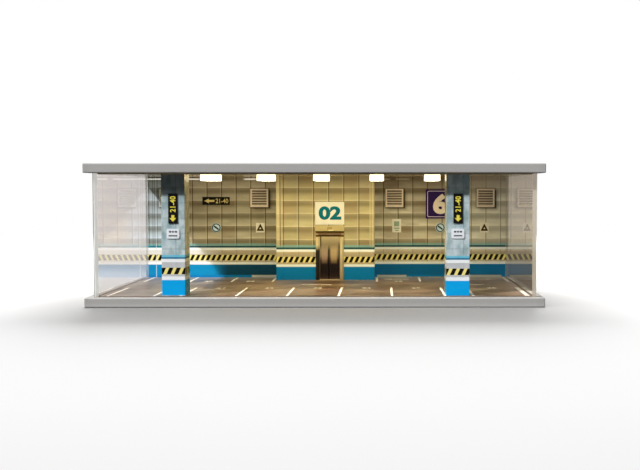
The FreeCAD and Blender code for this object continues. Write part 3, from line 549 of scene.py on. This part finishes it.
def strip_marks(finish, colour):
    """A paler left strip with a dark line down it, and a faint line down the right one."""
    above = finish.z.rise(38.5, 40.5)
    colour = finish.mix(above * (0.35 + 0.15 * finish.x.rise(1, -1)), colour, tint(216, 200, 158))
    line = finish.x.within(-42.3, -41.5, 0.3) * 0.85 + finish.x.within(42.3, 42.8, 0.3) * 0.4
    return finish.mix(above * line, colour, tint(70, 52, 24))


strip_print = block_sheet("corner_strip_print", "x", CORE_JOINTS, CORE_SHADES, strip_marks, strength=0.8)
coat(strip_print, "core_trim_left", "core_trim_right")

# Lift entrance: a stamped steel frame, two brushed leaves that are scenery and stay shut, and a pale sill.
# The sheet carries painted light: a painted reflection, pale above and dark towards the floor, painted
# highlights, and painted shade in its gaps and under the frame's head.

frame_low, frame_high = corners("lift_frame")
LIFT_MIDDLE = (frame_low[0] + frame_high[0]) / 2
RAMP_TOP = 60


def stamped_steel(name, stops, streaks):
    """Brushed sheet: upright scratches, and a colour that goes through the stops with height in mm, from 0 to
    RAMP_TOP. Each streak covers the stretch from low to high beside the lift's middle, from foot to top."""
    finish = Finish(name, {"IOR": 1.5, "Specular IOR Level": 0.2})
    settings = {"stops": [(height / RAMP_TOP, colour) for height, colour in stops]}
    colour = finish.node("ShaderNodeValToRGB", settings, {"Fac": finish.z / RAMP_TOP})
    scratches = finish.noise(0.5, (1, 1, 40), detail=3)
    colour = finish.mix(scratches * 0.3, colour, tint(60, 44, 34))
    for low, high, shade, cover, foot, top in streaks:
        beside = (finish.x - LIFT_MIDDLE).within(low, high, 0.8) * finish.z.within(foot, top, 5)
        colour = finish.mix(beside * cover, colour, shade)
    # Painted light: the lamps' warm cast.
    colour = finish.mix(1.0, colour, LAMP_WARM_CAST, "MULTIPLY")
    finish.give({"Base Color": colour, "Metallic": 0.1, "Roughness": 0.4 + 0.14 * scratches})
    finish.relief(scratches, 0.015)
    return finish


door_steel = stamped_steel(
    "lift_leaf_steel",
    # Painted reflection: the leaves are pale above and dark towards the floor.
    [
        (8, tint(96, 80, 66)),
        (11, tint(46, 35, 27)),
        (16, tint(26, 18, 13)),
        (22, tint(30, 21, 16)),
        (26, tint(70, 56, 48)),
        (31, tint(158, 148, 130)),
        (36, tint(172, 160, 138)),
        (41, tint(160, 150, 124)),
        (48, tint(206, 194, 158)),
    ],
    # Painted highlights on both leaves, then painted shade in the gap between them, in the opening's top-left
    # corner and beside the right jamb.
    [
        (1.0, 6.4, tint(240, 208, 150), 0.4, 25, 38),
        (-7.6, -2.6, tint(200, 168, 156), 0.45, 25, 36),
        (-1.7, -0.2, tint(20, 12, 10), 0.95, -10, 38),
        (-10.4, -8.0, tint(48, 38, 16), 0.85, 38, 60),
        (8.0, 10.4, tint(26, 16, 8), 0.9, -10, 42),
    ],
)
coat(door_steel, "lift_door_left", "lift_door_right")
frame_steel = stamped_steel(
    "lift_frame_steel",
    # Painted light and shade: paler at mid height, with dark bands of painted shadow under the head.
    [
        (8, tint(190, 178, 150)),
        (20, tint(226, 214, 184)),
        (34, tint(250, 242, 206)),
        (47.8, tint(232, 220, 176)),
        (48.4, tint(88, 71, 32)),
        (49.8, tint(97, 79, 38)),
        (50.3, tint(196, 172, 146)),
        (51.2, tint(190, 162, 138)),
        (51.8, tint(94, 79, 36)),
        (52.2, tint(70, 58, 25)),
        (53.5, tint(70, 58, 25)),
    ],
    # Painted shadow down the left jamb, and painted shade on the right one.
    [
        (-14, -9.2, tint(14, 10, 8), 0.97, -10, 38),
        (11.6, 14, tint(120, 96, 60), 0.5, -10, 46),
    ],
)
coat(frame_steel, "lift_frame")
sill_steel = stamped_steel("lift_sill_steel", [(0, tint(196, 180, 156)), (12, tint(214, 200, 176))], [])
coat(sill_steel, "lift_sill")

indicator = Finish("indicator_print", SATIN_FILM)
indicator_grain = indicator.noise(1.0)
window = (indicator.x - LIFT_MIDDLE).within(-2.4, 2.2, 0.4) * indicator.z.within(54.6, 57.4, 0.3)
# Painted highlight: a pale strip under the indicator's window.
glow = (indicator.x - LIFT_MIDDLE).within(-1.2, 3.4, 0.8) * indicator.z.within(53.9, 54.8, 0.3)
indicator_colour = indicator.mix(indicator_grain, tint(176, 158, 112), tint(196, 178, 128))
indicator_colour = indicator.mix(window * 0.55, indicator_colour, tint(120, 100, 66))
indicator_colour = indicator.mix(glow, indicator_colour, tint(244, 236, 170))
indicator.give({"Base Color": indicator_colour, "Roughness": 0.4 + 0.1 * indicator_grain})
coat(indicator, "lift_indicator")

# Wall signs: cut plates, printed and glued to the wall. They carry plain numbers, arrows, rings and bars.
# The printed marks stand one film proud of their plates.


def clouded(name, fixed, size, detail, first, second, roughness, swing):
    """Two near shades clouded together by noise with patches about size mm wide; the roughness grows by up to
    swing with it."""
    finish = Finish(name, fixed)
    cloud = finish.noise(size, detail=detail)
    colour = finish.mix(cloud, tint(*first), tint(*second))
    finish.give({"Base Color": colour, "Roughness": roughness + swing * cloud})
    return finish


def plate_finish(name, first, second):
    """The ink or the plate of a sign: two near shades under a satin film."""
    finish = clouded(name, SATIN_FILM, 4, 3, first, second, 0.42, 0.1)
    finish.relief(finish.noise(1.0), 0.006)
    return finish


def plate_face(node):
    """The middle of a plate's front face, its half width and its half height, in mm."""
    low, high = corners(node)
    middle = (low + high) / 2
    return (middle[0], low[1], middle[2]), (high[0] - low[0]) / 2, (high[2] - low[2]) / 2


def inset_line(name, outer, inner, finish, slot, origin, right, up, body="case"):
    """A closed flat band between two outlines with as many points. Four rows of points go round it: outer
    low, outer high, inner high, inner low. Each row joins the next one, and the last the first."""
    rows = [on_plane(outer, 0, origin, right, up), on_plane(outer, FILM, origin, right, up)]
    rows += [on_plane(inner, FILM, origin, right, up), on_plane(inner, 0, origin, right, up)]
    here = np.arange(4 * len(outer)).reshape(4, -1)
    after = np.roll(here, -1, axis=1)
    faces = np.stack([here, after, np.roll(after, -1, axis=0), np.roll(here, -1, axis=0)], axis=-1)
    new_piece(name, np.concatenate(rows), faces.reshape(-1, 4).tolist(), finish, body)


FACING = ((1, 0, 0), (0, 0, 1))
cream_plate = plate_finish("cream_plate", (212, 208, 196), (224, 220, 208))
teal_ink = plate_finish("teal_ink", (4, 92, 108), (6, 106, 122))
coat(cream_plate, "level_sign")
level_middle, *_ = plate_face("level_sign")
level_centre = (level_middle[0] + 0.3, level_middle[1], level_middle[2] + 0.2)
lettering("level_number", "02", (21, 12.6), teal_ink, "level_sign_face", level_centre, *FACING, weight=0.045)

violet_plate = plate_finish("violet_plate", (48, 26, 84), (56, 34, 96))
cream_ink = plate_finish("cream_ink", (255, 236, 216), (255, 244, 228))
lilac_ink = plate_finish("lilac_ink", (226, 210, 230), (236, 222, 238))
coat(violet_plate, "zone_sign")
zone_middle, zone_half, _ = plate_face("zone_sign")


def rounded_square(half, radius, steps=6):
    """A square's outline with round corners: round each corner's centre a quarter turn in equal steps."""
    turns = np.linspace(0, math.pi / 2, steps)
    quarter = np.column_stack([np.cos(turns), np.sin(turns)]) * radius + (half - radius)
    spin = np.array([[0, 1], [-1, 0]])
    return np.concatenate([quarter @ np.linalg.matrix_power(spin, count) for count in range(4)])


zone_edges = rounded_square(zone_half - 1.5, 1.6), rounded_square(zone_half - 2.1, 1.0)
inset_line("zone_line", *zone_edges, lilac_ink, "zone_sign_face", zone_middle, *FACING)
lettering("zone_number", "6", (14, 19.5), cream_ink, "zone_sign_face", zone_middle, *FACING, weight=0.05)

black_plate = plate_finish("black_plate", (14, 13, 11), (24, 22, 19))
gold_ink = plate_finish("gold_ink", (230, 208, 128), (244, 224, 148))
coat(black_plate, "direction_sign")
direction_middle, *_ = plate_face("direction_sign")
pointer = arrow(9.6, 4.6, 4.4, 1.9) - [11.2, 0]
flat_marks("direction_arrow", [pointer], gold_ink, "direction_sign_face", direction_middle, *FACING)
number_spot = ((direction_middle[0] + 5.6, *direction_middle[1:]), *FACING)
lettering("direction_numbers", "21-40", (12, 4.4), gold_ink, "direction_sign_face", *number_spot, weight=0.01)


def circle(radius, count=40):
    """Points round a circle, turning left."""
    turns = np.linspace(0, 2 * math.pi, count, endpoint=False)
    return np.column_stack([np.cos(turns), np.sin(turns)]) * radius


def slanted_bar(length, width, angle):
    """A rectangle's outline about the origin, turned by angle."""
    cosine, sine = math.cos(angle), math.sin(angle)
    return bar(-length / 2, -width / 2, length / 2, width / 2) @ np.array([[cosine, sine], [-sine, cosine]])


round_plate = plate_finish("round_plate", (202, 232, 252), (218, 242, 255))
navy_ink = plate_finish("navy_ink", (22, 36, 42), (32, 46, 52))
for side in ("left", "right"):
    node = f"round_sign_{side}"
    coat(round_plate, node)
    middle, half, _ = plate_face(node)
    edges = circle(half - 0.4), circle(half - 1.3)
    inset_line(f"round_ring_{side}", *edges, navy_ink, "round_sign_face", middle, *FACING)
    stroke = slanted_bar(2 * half - 3.6, 1.4, math.radians(-38))
    flat_marks(f"round_bar_{side}", [stroke], navy_ink, "round_sign_face", middle, *FACING)

triangle_plate = plate_finish("triangle_plate", (252, 246, 226), (255, 254, 240))
olive_ink = plate_finish("olive_ink", (66, 50, 22), (84, 66, 32))
for side in ("left", "right"):
    node = f"triangle_sign_{side}"
    coat(triangle_plate, node)
    middle, half, rise = plate_face(node)
    outer = np.array([[-half + 0.5, -rise + 1.6], [half - 0.5, -rise + 1.6], [0, rise - 0.6]])
    inner = outer.mean(0) + (outer - outer.mean(0)) * 0.25
    inset_line(f"triangle_line_{side}", outer, inner, olive_ink, "triangle_sign_face", middle, *FACING)

notice_plate = plate_finish("notice_plate", (238, 234, 222), (246, 242, 234))
notice_ink = plate_finish("notice_ink", (140, 166, 146), (168, 188, 166))
coat(notice_plate, "notice_plate")
notice_middle, *_ = plate_face("notice_plate")
notice_rows = [bar(-2.6, -0.6, 2.4, 4.2), bar(-2.6, -3.0, 2.6, -1.8), bar(-1.4, -5.0, 1.8, -3.9)]
flat_marks("notice_marks", notice_rows, notice_ink, "notice_face", notice_middle, *FACING)

# Vents: four louvred grilles moulded in cream plastic, with six slanted slats each, glued high on the wall.
# Dust lies on them; the wells behind their slats are painted dark as shade, and the one at the far left is
# painted a cool grey, like the daylit wall beside it.

vent_plastic = Finish("vent_plastic", {"IOR": 1.5})
vent_grain = vent_plastic.noise(0.8)
vent_front = corners("vent_1")[0][1]
vent_dust = vent_plastic.noise(3).rise(0.4, 0.8)
vent_colour = vent_plastic.mix(vent_grain, tint(238, 220, 200), tint(252, 236, 218))
vent_colour = vent_plastic.mix(vent_dust * 0.25, vent_colour, tint(180, 154, 128))
# Painted shade in the wells behind the slats.
vent_well_shade = vent_plastic.y.rise(vent_front + 0.2, vent_front + 0.9)
vent_colour = vent_plastic.mix(vent_well_shade * 0.85, vent_colour, tint(70, 50, 34))
# The vent at the far left is painted cool grey, like the daylit wall beside it.
vent_cool_grey = vent_plastic.x.rise(-120, -156) * 0.9
vent_plastic.give({"Base Color": vent_plastic.mix(vent_cool_grey, vent_colour, tint(172, 182, 180))})
vent_plastic.give({"Roughness": 0.5 + 0.12 * vent_grain})
vent_plastic.relief(vent_grain, 0.01)
coat(vent_plastic, "vent_1", "vent_2", "vent_3", "vent_4")

# Pillars: square posts screwed to both boards and wrapped in a printed sheet, pale blocks over a dado.
# Each carries an upright black sign and a small white plate on its front.

PILLAR_DADO = [
    (38.3, 40.0, tint(96, 196, 226), 0.85),
    (36.8, 38.4, tint(8, 116, 154), 0.9),
    (34.3, 36.8, tint(246, 252, 254), 1.0),
    (23.0, 34.3, tint(206, 204, 206), 0.7),
    (24.7, 29.9, "hazard", 1.0),
    (20.1, 23.0, tint(242, 248, 254), 1.0),
    (8.0, 20.1, tint(0, 166, 238), 1.0),
]
PILLAR_HAZARD = (0.44, 5.9)
PILLAR_JOINTS = (-110.4, 117.0)
PILLAR_INNER = corners("pillar_right")[0][0]
pillar_print = Finish("pillar_print", SATIN_FILM)
pillar_across = pillar_print.x + pillar_print.y - 1.2
pillar_cloud = pillar_print.noise(9, (1, 1, 1.4), detail=3)
pillar_patch = pillar_print.noise(5, (1, 1, 1.8))
pillar_grain = pillar_print.noise(0.9, (1, 1, 2), detail=3)
pillar_course = pillar_print.z.every(COURSE_START, COURSE).rise(1.1, 0.2)
pillar_joint = pillar_print.x.every(PILLAR_JOINTS[0], PILLAR_JOINTS[1] - PILLAR_JOINTS[0]).rise(0.5, 0.2)
pillar_left = pillar_print.x.rise(1, -1)
pillar_inside = pillar_print.x.maths("ABSOLUTE") < PILLAR_INNER + 0.2
pillar_colour = pillar_print.mix(pillar_cloud.rise(0.35, 0.65), tint(162, 190, 198), tint(214, 229, 232))
pillar_colour = pillar_print.mix(pillar_patch.rise(0.46, 0.6) * 0.55, pillar_colour, tint(132, 160, 162))
pillar_colour = pillar_print.mix(pillar_grain * 0.25, pillar_colour, tint(140, 158, 162))
pillar_colour = pillar_print.mix(pillar_print.z.rise(50, 70) * 0.15, pillar_colour, tint(112, 130, 132))
pillar_colour = pillar_print.mix(pillar_course * 0.3, pillar_colour, tint(130, 146, 150))
pillar_colour = pillar_print.mix(pillar_joint * 0.4, pillar_colour, tint(90, 108, 112))
# Painted shadow: the roof's shadow darkens the tops of the outer faces, most at the left.
pillar_roof_shadow = pillar_print.z.rise(84, 92) * (0.2 + 0.45 * pillar_left) * (1 - pillar_inside)
pillar_colour = pillar_print.mix(pillar_roof_shadow, pillar_colour, tint(44, 40, 28))
pillar_lift = pillar_left * 0.8 - 0.4
pillar_colour = dado(pillar_print, pillar_colour, pillar_across, PILLAR_DADO, pillar_lift, *PILLAR_HAZARD)
# Painted light on the inner faces, which face the lamps: a warm cast reflected from the lit wall, painted
# shade towards the foot, and a painted reflection of the lamps at the top.
pillar_colour = pillar_print.mix(pillar_inside, pillar_colour, (1.08, 0.84, 0.56, 1), "MULTIPLY")
pillar_inner_foot_shade = pillar_inside * pillar_print.z.rise(50, 38)
pillar_colour = pillar_print.mix(pillar_inner_foot_shade, pillar_colour, (0.6, 0.72, 0.85, 1), "MULTIPLY")
pillar_lamp_reflection = pillar_inside * pillar_print.z.rise(88, 101)
pillar_colour = pillar_print.mix(pillar_lamp_reflection, pillar_colour, (2.6, 2.3, 1.7, 1), "MULTIPLY")
pillar_print.give({"Base Color": pillar_colour, "Roughness": 0.2 + 0.12 * pillar_grain})
pillar_print.relief(pillar_grain, 0.006)
coat(pillar_print, "pillar_left", "pillar_right")

UPWARD = ((0, 0, 1), (-1, 0, 0))
white_plate = plate_finish("white_plate", (230, 236, 242), (242, 247, 252))
yellow_ink = plate_finish("yellow_ink", (232, 216, 70), (244, 230, 96))
slate_ink = plate_finish("slate_ink", (70, 80, 86), (92, 102, 108))
PLATE_ROW = (0.9, 2.2)
PLATE_STRETCHES = (-3.2, -1.4), (-0.8, 0.6), (1.2, 3.2)
for side in ("left", "right"):
    node = f"pillar_sign_{side}"
    coat(black_plate, node)
    middle, _, rise = plate_face(node)
    face = (yellow_ink, "pillar_sign_face")
    tip = (middle[0], middle[1], middle[2] - rise + 1.4)
    flat_marks(f"pillar_arrow_{side}", [arrow(5.2, 5.6, 2.8, 2.4)], *face, tip, *UPWARD)
    spot = (middle[0], middle[1], middle[2] + 3.4)
    lettering(f"pillar_numbers_{side}", "21-40", (12.6, 4.4), *face, spot, *UPWARD, weight=0.02)
    node = f"pillar_plate_{side}"
    coat(white_plate, node)
    middle, *_ = plate_face(node)
    rows = [bar(low, PLATE_ROW[0], high, PLATE_ROW[1]) for low, high in PLATE_STRETCHES]
    rows += [bar(-3.4, -2.1, 3.4, -1.1)]
    flat_marks(f"plate_marks_{side}", rows, slate_ink, "pillar_plate_face", middle, *FACING)

# Ceiling: a thin sheet with a glossy film under the roof board, which mirrors the lamps at a low angle.
# Five opal covers snap over LED boards on it, joined by wires in the roof's channel. A driver board on
# posts inside the lift core feeds them.

CEILING_SHADES = (150, 134, 100), (166, 149, 114)
ceiling_sheet = clouded("ceiling_sheet", {"IOR": 1.45}, 30, 3, *CEILING_SHADES, 0.1, 0.06)
coat(ceiling_sheet, "ceiling_panel")

cover_low, cover_high = corners("lamp_cover_1")
lamp_opal = Finish("lamp_opal", {"IOR": 1.49, "Roughness": 0.3, "Emission Strength": 3.0})
lamp_rim = lamp_opal.z.rise(cover_low[2] + 0.1, cover_high[2] - 0.5)
lamp_cloud = lamp_opal.noise(3)
lamp_opal.give({"Base Color": lamp_opal.mix(lamp_cloud * 0.2, tint(244, 242, 234), tint(230, 226, 214))})
lamp_opal.give({"Emission Color": lamp_opal.mix(lamp_rim, tint(255, 248, 222), tint(255, 232, 176))})
coat(lamp_opal, *(f"lamp_cover_{count}" for count in range(1, 6)))

circuit = Finish("circuit_board", {"IOR": 1.5})
copper = circuit.x.every(0, 2.4).rise(0.5, 0.3) * circuit.noise(5).rise(0.45, 0.5)
board_green = circuit.mix(circuit.noise(2), tint(20, 92, 56), tint(28, 108, 66))
circuit.give({"Base Color": circuit.mix(copper * 0.6, board_green, tint(176, 150, 70))})
circuit.give({"Roughness": 0.4 - 0.1 * copper})
coat(circuit, *(f"led_board_{count}" for count in range(1, 6)), "driver_board")

WIRE_SHADES = (150, 26, 22), (172, 36, 30)
coat(clouded("wire_skin", {"IOR": 1.48}, 4, 2, *WIRE_SHADES, 0.4, 0.1), "lamp_wiring", "supply_wiring")

POST_SHADES = (214, 214, 208), (226, 226, 220)
coat(clouded("post_plastic", {"IOR": 1.5}, 0.6, 2, *POST_SHADES, 0.45, 0.1), "board_posts")

# Inlet and switch: a panel jack held by a ribbed nut, and a snap-in rocker, both of black moulded plastic,
# at the rear. The rocker turns in the switch body and carries the two plain marks for on and off.

SPARK = 0.35
BLACK_SHADES = (30, 30, 31), (44, 44, 45)
black_plastic = clouded("black_plastic", {"IOR": 1.5}, SPARK, 3, *BLACK_SHADES, 0.42, 0.2)
black_plastic.relief(black_plastic.noise(SPARK, detail=3), 0.02)
coat(black_plastic, "power_socket", "socket_nut", "switch_body", "switch_rocker")

mark_ink = plate_finish("mark_ink", (206, 206, 200), (222, 222, 216))
hinge = next(joint for joint in frame["joints"] if joint["name"] == "switch_rock")
PIVOT = np.array(hinge["pos_m"]) * 1000
ROCKER_TILT = math.radians(hinge["range_deg"][1] / 2)
DISH_HEIGHT, DISH_RISE, DISH_HALF = 3.1, 1.2, 4.7
ROCKER_SLOPE = math.atan2(DISH_RISE, DISH_HALF)


def rocker_spot(along):
    """Where a mark sits on the dished rocker, along mm above its middle: the dish rises to each end by its
    slope, and the point is then turned with the rocker by its tilt. Gives the place, and the directions right
    and up on the face there."""
    out = DISH_HEIGHT + abs(along) * math.tan(ROCKER_SLOPE)
    cosine, sine = math.cos(ROCKER_TILT), math.sin(ROCKER_TILT)
    lean = ROCKER_TILT + math.copysign(ROCKER_SLOPE, along)
    spot = PIVOT + [0, out * cosine + along * sine, along * cosine - out * sine]
    return spot, (-1, 0, 0), (0, math.sin(lean), math.cos(lean))


MARK_OUT = 2.8
mark_face = (mark_ink, "black_plastic")
inset_line("rocker_ring", circle(1.0), circle(0.65), *mark_face, *rocker_spot(MARK_OUT), body="rocker")
flat_marks("rocker_bar", [bar(-0.2, -1, 0.2, 1)], *mark_face, *rocker_spot(-MARK_OUT), body="rocker")

# Side and front panels: 3 mm polished clear acrylic. The sides stand in grooves of both boards, and the
# front one slides out to the right. The faces are clear and glossy; the sawn edges scatter light and look
# frosted.

PANE_FRONT, PANE_REAR = (corner[1] for corner in corners("side_panel_left"))


def clear_acrylic(name, across, bend, clear, glow):
    """Clear where the face looks along the axis across: it mirrors twice Fresnel over one plus Fresnel, which
    is both surfaces of a sheet together, and lets the rest through, tinted by clear. The other faces are the
    frosted edges, with painted light: painted whiter at the left, where daylight falls, and warmer at the
    right, and lit from within by glow, a painted glow that stands for the lamps' light piped through the
    sheet, most at the rear."""
    finish = Finish(name, {"Roughness": 0.4, "IOR": 1.49, "Alpha": 0.8, "Emission Strength": glow})
    smear = finish.noise(14, detail=3)
    rightward = finish.x.rise(-5, 5)
    # Painted light on the edges: whiter at the left, warmer at the right, and a painted glow of piped light.
    edge_pale = finish.mix(rightward, tint(186, 187, 184), tint(150, 145, 134))
    edge_white = finish.mix(rightward, tint(200, 201, 198), tint(166, 161, 150))
    piped = finish.mix(rightward, tint(230, 233, 226), tint(176, 163, 136))
    finish.give({"Base Color": finish.mix(smear, edge_pale, edge_white)})
    lit = finish.y.rise(PANE_REAR - 3, PANE_REAR - 1)
    lit = lit + 0.4 * finish.y.rise(PANE_FRONT + 1.75, PANE_FRONT + 0.75)
    finish.give({"Emission Color": finish.mix(lit, (0, 0, 0, 1), piped)})
    fresnel = finish.node("ShaderNodeFresnel", sockets={"IOR": bend})
    outside = 1 - finish.node("ShaderNodeNewGeometry", output="Backfacing")
    mirror = fresnel * 2 / (1 + fresnel) * outside
    through = finish.node("ShaderNodeBsdfTransparent", sockets={"Color": clear})
    gloss = finish.node("ShaderNodeBsdfAnisotropic", sockets={"Roughness": 0.02})
    face = finish.node("ShaderNodeMixShader", sockets={0: mirror, 1: through, 2: gloss})
    normal = finish.node("ShaderNodeTexCoord", output="Normal")
    turned = finish.node("ShaderNodeSeparateXYZ", sockets={0: normal}, output=across)
    edge = turned.maths("ABSOLUTE") < 0.7
    edge_shader = Socket(finish.tree, finish.shader.outputs[0])
    both = finish.node("ShaderNodeMixShader", sockets={0: edge, 1: face, 2: edge_shader})
    finish.tree.links.new(both.output, finish.tree.nodes["Material Output"].inputs["Surface"])
    return finish


side_acrylic = clear_acrylic("side_acrylic", "X", 1.6, (0.965, 0.95, 0.945, 1), 1.0)
coat(side_acrylic, "side_panel_left", "side_panel_right")
coat(clear_acrylic("front_acrylic", "Y", 1.2, (0.985, 0.98, 0.98, 1), 0.1), "front_panel")

# Roof board: the same painted board as the base, grooved below for the panels and the wires.
# Countersunk zinc-plated screws hold the pillars and the back board to both boards.

coat(board_paint, "roof_board")

SCREW_SHADES = (196, 196, 194), (214, 214, 212)
screw_steel = clouded("screw_steel", {"Metallic": 1.0, "IOR": 1.5}, 0.6, 3, *SCREW_SHADES, 0.28, 0.16)
coat(screw_steel, "base_screws", "roof_screws")

# Studio: a white table under a pale dome, a key light from the left front for the object alone, a softbox
# behind for the table's shadow, and warm lights under each lamp cover. Cards, paler at the left and darker at
# the right, show on table and dome only through two clear sheets; through one, both are a little dimmer.

shown = bpy.data.collections.new("object_pieces")
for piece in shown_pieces():
    shown.objects.link(piece)

TABLE_RADII, TABLE_SIDES = np.array([0.3, 0.8, 1.4]), 64
table_rim = np.column_stack([circle(1.0, TABLE_SIDES), np.zeros(TABLE_SIDES)])
table_points = (TABLE_RADII[:, None, None] * table_rim).reshape(-1, 3)
ring = np.arange(len(table_points)).reshape(len(TABLE_RADII), -1)
inner, outer = ring[:-1], ring[1:]
rings = np.stack([inner, outer, np.roll(outer, -1, 1), np.roll(inner, -1, 1)], axis=-1).reshape(-1, 4)
table_mesh = bpy.data.meshes.new("table")
table_mesh.from_pydata(table_points.tolist(), [], rings.tolist() + [ring[0].tolist()])
table = bpy.data.objects.new("table", table_mesh)
bpy.context.scene.collection.objects.link(table)
table_paper = Finish("table_paper", {"Roughness": 0.9, "Specular IOR Level": 0.0})
looked_at = table_paper.node("ShaderNodeLightPath", output="Is Camera Ray")
layers = table_paper.node("ShaderNodeLightPath", output="Transparent Depth")
rightward = table_paper.x.rise(-100, 100)
card = table_paper.mix(table_paper.y.rise(550, 800), (0.13, 0.115, 0.095, 1), (0.38, 0.35, 0.27, 1))
card = table_paper.mix(rightward, (0.48, 0.47, 0.46, 1), card)
reach = rightward.maths("MAXIMUM", table_paper.y.rise(150, 300))
paper_white = table_paper.mix(layers > 1.5, (0.95, 0.95, 0.95, 1), (0.84, 0.845, 0.84, 1))
paper_white = table_paper.mix((layers > 3.5) * reach, paper_white, card)
table_paper.give({"Base Color": table_paper.mix(looked_at, (0.3, 0.3, 0.3, 1), paper_white)})
away = table_paper.node("ShaderNodeVectorMath", {"operation": "LENGTH"}, {0: table_paper.place}, "Value")
clear = table_paper.node("ShaderNodeBsdfTransparent")
paper = Socket(table_paper.tree, table_paper.shader.outputs[0])
faded = table_paper.node("ShaderNodeMixShader", sockets={0: away.rise(0.8, 1.3), 1: paper, 2: clear})
table_paper.tree.links.new(faded.output, table_paper.tree.nodes["Material Output"].inputs["Surface"])
table_mesh.materials.append(table_paper.material)
on_table = bpy.data.collections.new("table_alone")
on_table.objects.link(table)


def lamp(name, kind, energy, colour, place, towards, receivers, **shape):
    """A light that shines from place towards a point, on the objects of receivers alone."""
    data = bpy.data.lights.new(name, kind)
    data.energy = energy
    data.color = colour
    for key, value in shape.items():
        setattr(data, key, value)
    light = bpy.data.objects.new(name, data)
    bpy.context.scene.collection.objects.link(light)
    light.location = place
    aim = np.array(towards, float) - np.array(place, float)
    light.rotation_euler = Vector(aim).to_track_quat("-Z", "Y").to_euler()
    light.light_linking.receiver_collection = receivers
    return light


KEY_PLACE, SOFTBOX_PLACE, MIDDLE = (-0.82, -0.655, 1.0), (0, 1.13, 1.0), (0, 0, 0)
lamp("key", "SUN", 5.5, (1, 0.99, 0.98), KEY_PLACE, MIDDLE, shown, angle=math.radians(3))
lamp("table_softbox", "AREA", 31, (1, 1, 1), SOFTBOX_PLACE, MIDDLE, on_table, shape="SQUARE", size=1.0)

WARM = (1, 0.9, 0.5)
DOWN_GAP, AROUND_GAP = 0.0004, 0.004
DOWN_WATTS, AROUND_WATTS = 0.031, 0.02
for count in range(1, 6):
    low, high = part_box(f"lamp_cover_{count}")
    across, deep = (low.x + high.x) / 2, (low.y + high.y) / 2
    below, close, under = ((across, deep, z) for z in (0, low.z - DOWN_GAP, low.z - AROUND_GAP))
    cover = {"shape": "RECTANGLE", "size": high.x - low.x, "size_y": high.y - low.y}
    ball = {"shadow_soft_size": 0.003}
    down = lamp(f"lamp_down_{count}", "AREA", DOWN_WATTS, WARM, close, below, shown, **cover)
    around = lamp(f"lamp_around_{count}", "POINT", AROUND_WATTS, WARM, under, below, shown, **ball)
    down.visible_glossy = around.visible_glossy = False

# Dome: it lights the case mostly from behind, is somewhat stronger in mirrors, and shows white to the camera.
# The cards and the dimming behind the clear sheets are in its colour, as on the table.

world = bpy.data.worlds.new("pale_dome")
bpy.context.scene.world = world
world.use_nodes = True
sky = Nodes(world.node_tree)
camera_ray, glossy_ray, transmission_ray, layers = (
    sky.node("ShaderNodeLightPath", output=kind)
    for kind in ("Is Camera Ray", "Is Glossy Ray", "Is Transmission Ray", "Transparent Depth")
)
direction = sky.node("ShaderNodeTexCoord", output="Generated")
sky_x, sky_y, sky_z = (
    sky.node("ShaderNodeSeparateXYZ", sockets={0: direction}, output=axis) for axis in "XYZ"
)
ahead = sky_y.rise(-0.75, 0.2)
spread = 0.12 + 0.68 * ahead
in_mirror = 0.14 + 0.86 * ahead
strength = spread + (in_mirror - spread) * glossy_ray
strength = strength + (1 - strength) * camera_ray.maths("MAXIMUM", transmission_ray)
card = sky.mix(sky_z.rise(-0.044, -0.052), (0.8, 0.73, 0.62, 1), (0.52, 0.48, 0.36, 1))
card = sky.mix(sky_x.rise(-0.08, 0.1), (1.08, 1.05, 1.04, 1), card)
dimmer = sky.mix(layers > 1.5, (1, 1, 1, 1), (0.87, 0.88, 0.87, 1))
card = sky.mix((layers > 3.5) * sky_y.rise(0.75, 0.9), dimmer, card)
background = world.node_tree.nodes["Background"]
feed(sky.tree, background.inputs["Strength"], strength)
feed(sky.tree, background.inputs["Color"], card)

# Camera: 0.85 m in front of the case's middle and a little below its roof, looking slightly down and to the
# right. The picture's size, the focal length and the point that the camera's axis meets are in pixels.

WIDE, HIGH = 640, 470
FOCAL = 975.57
AIM = (386.89, 232.58)
SENSOR = 36
CAMERA_PLACE = (0.05147, -0.85258, 0.09214)
LOOK_DOWN, LOOK_RIGHT = 0.0442, 0.0062
camera_data = bpy.data.cameras.new("camera")
camera_data.sensor_width = SENSOR
camera_data.lens = FOCAL / WIDE * SENSOR
camera_data.shift_x = (WIDE / 2 - AIM[0]) / WIDE
camera_data.shift_y = (AIM[1] - HIGH / 2) / WIDE
camera = bpy.data.objects.new("camera", camera_data)
bpy.context.scene.collection.objects.link(camera)
camera.location = CAMERA_PLACE
camera.rotation_euler = (math.pi / 2 - LOOK_DOWN, 0, -LOOK_RIGHT)
bpy.context.scene.camera = camera
bpy.context.scene.view_settings.view_transform = "Standard"
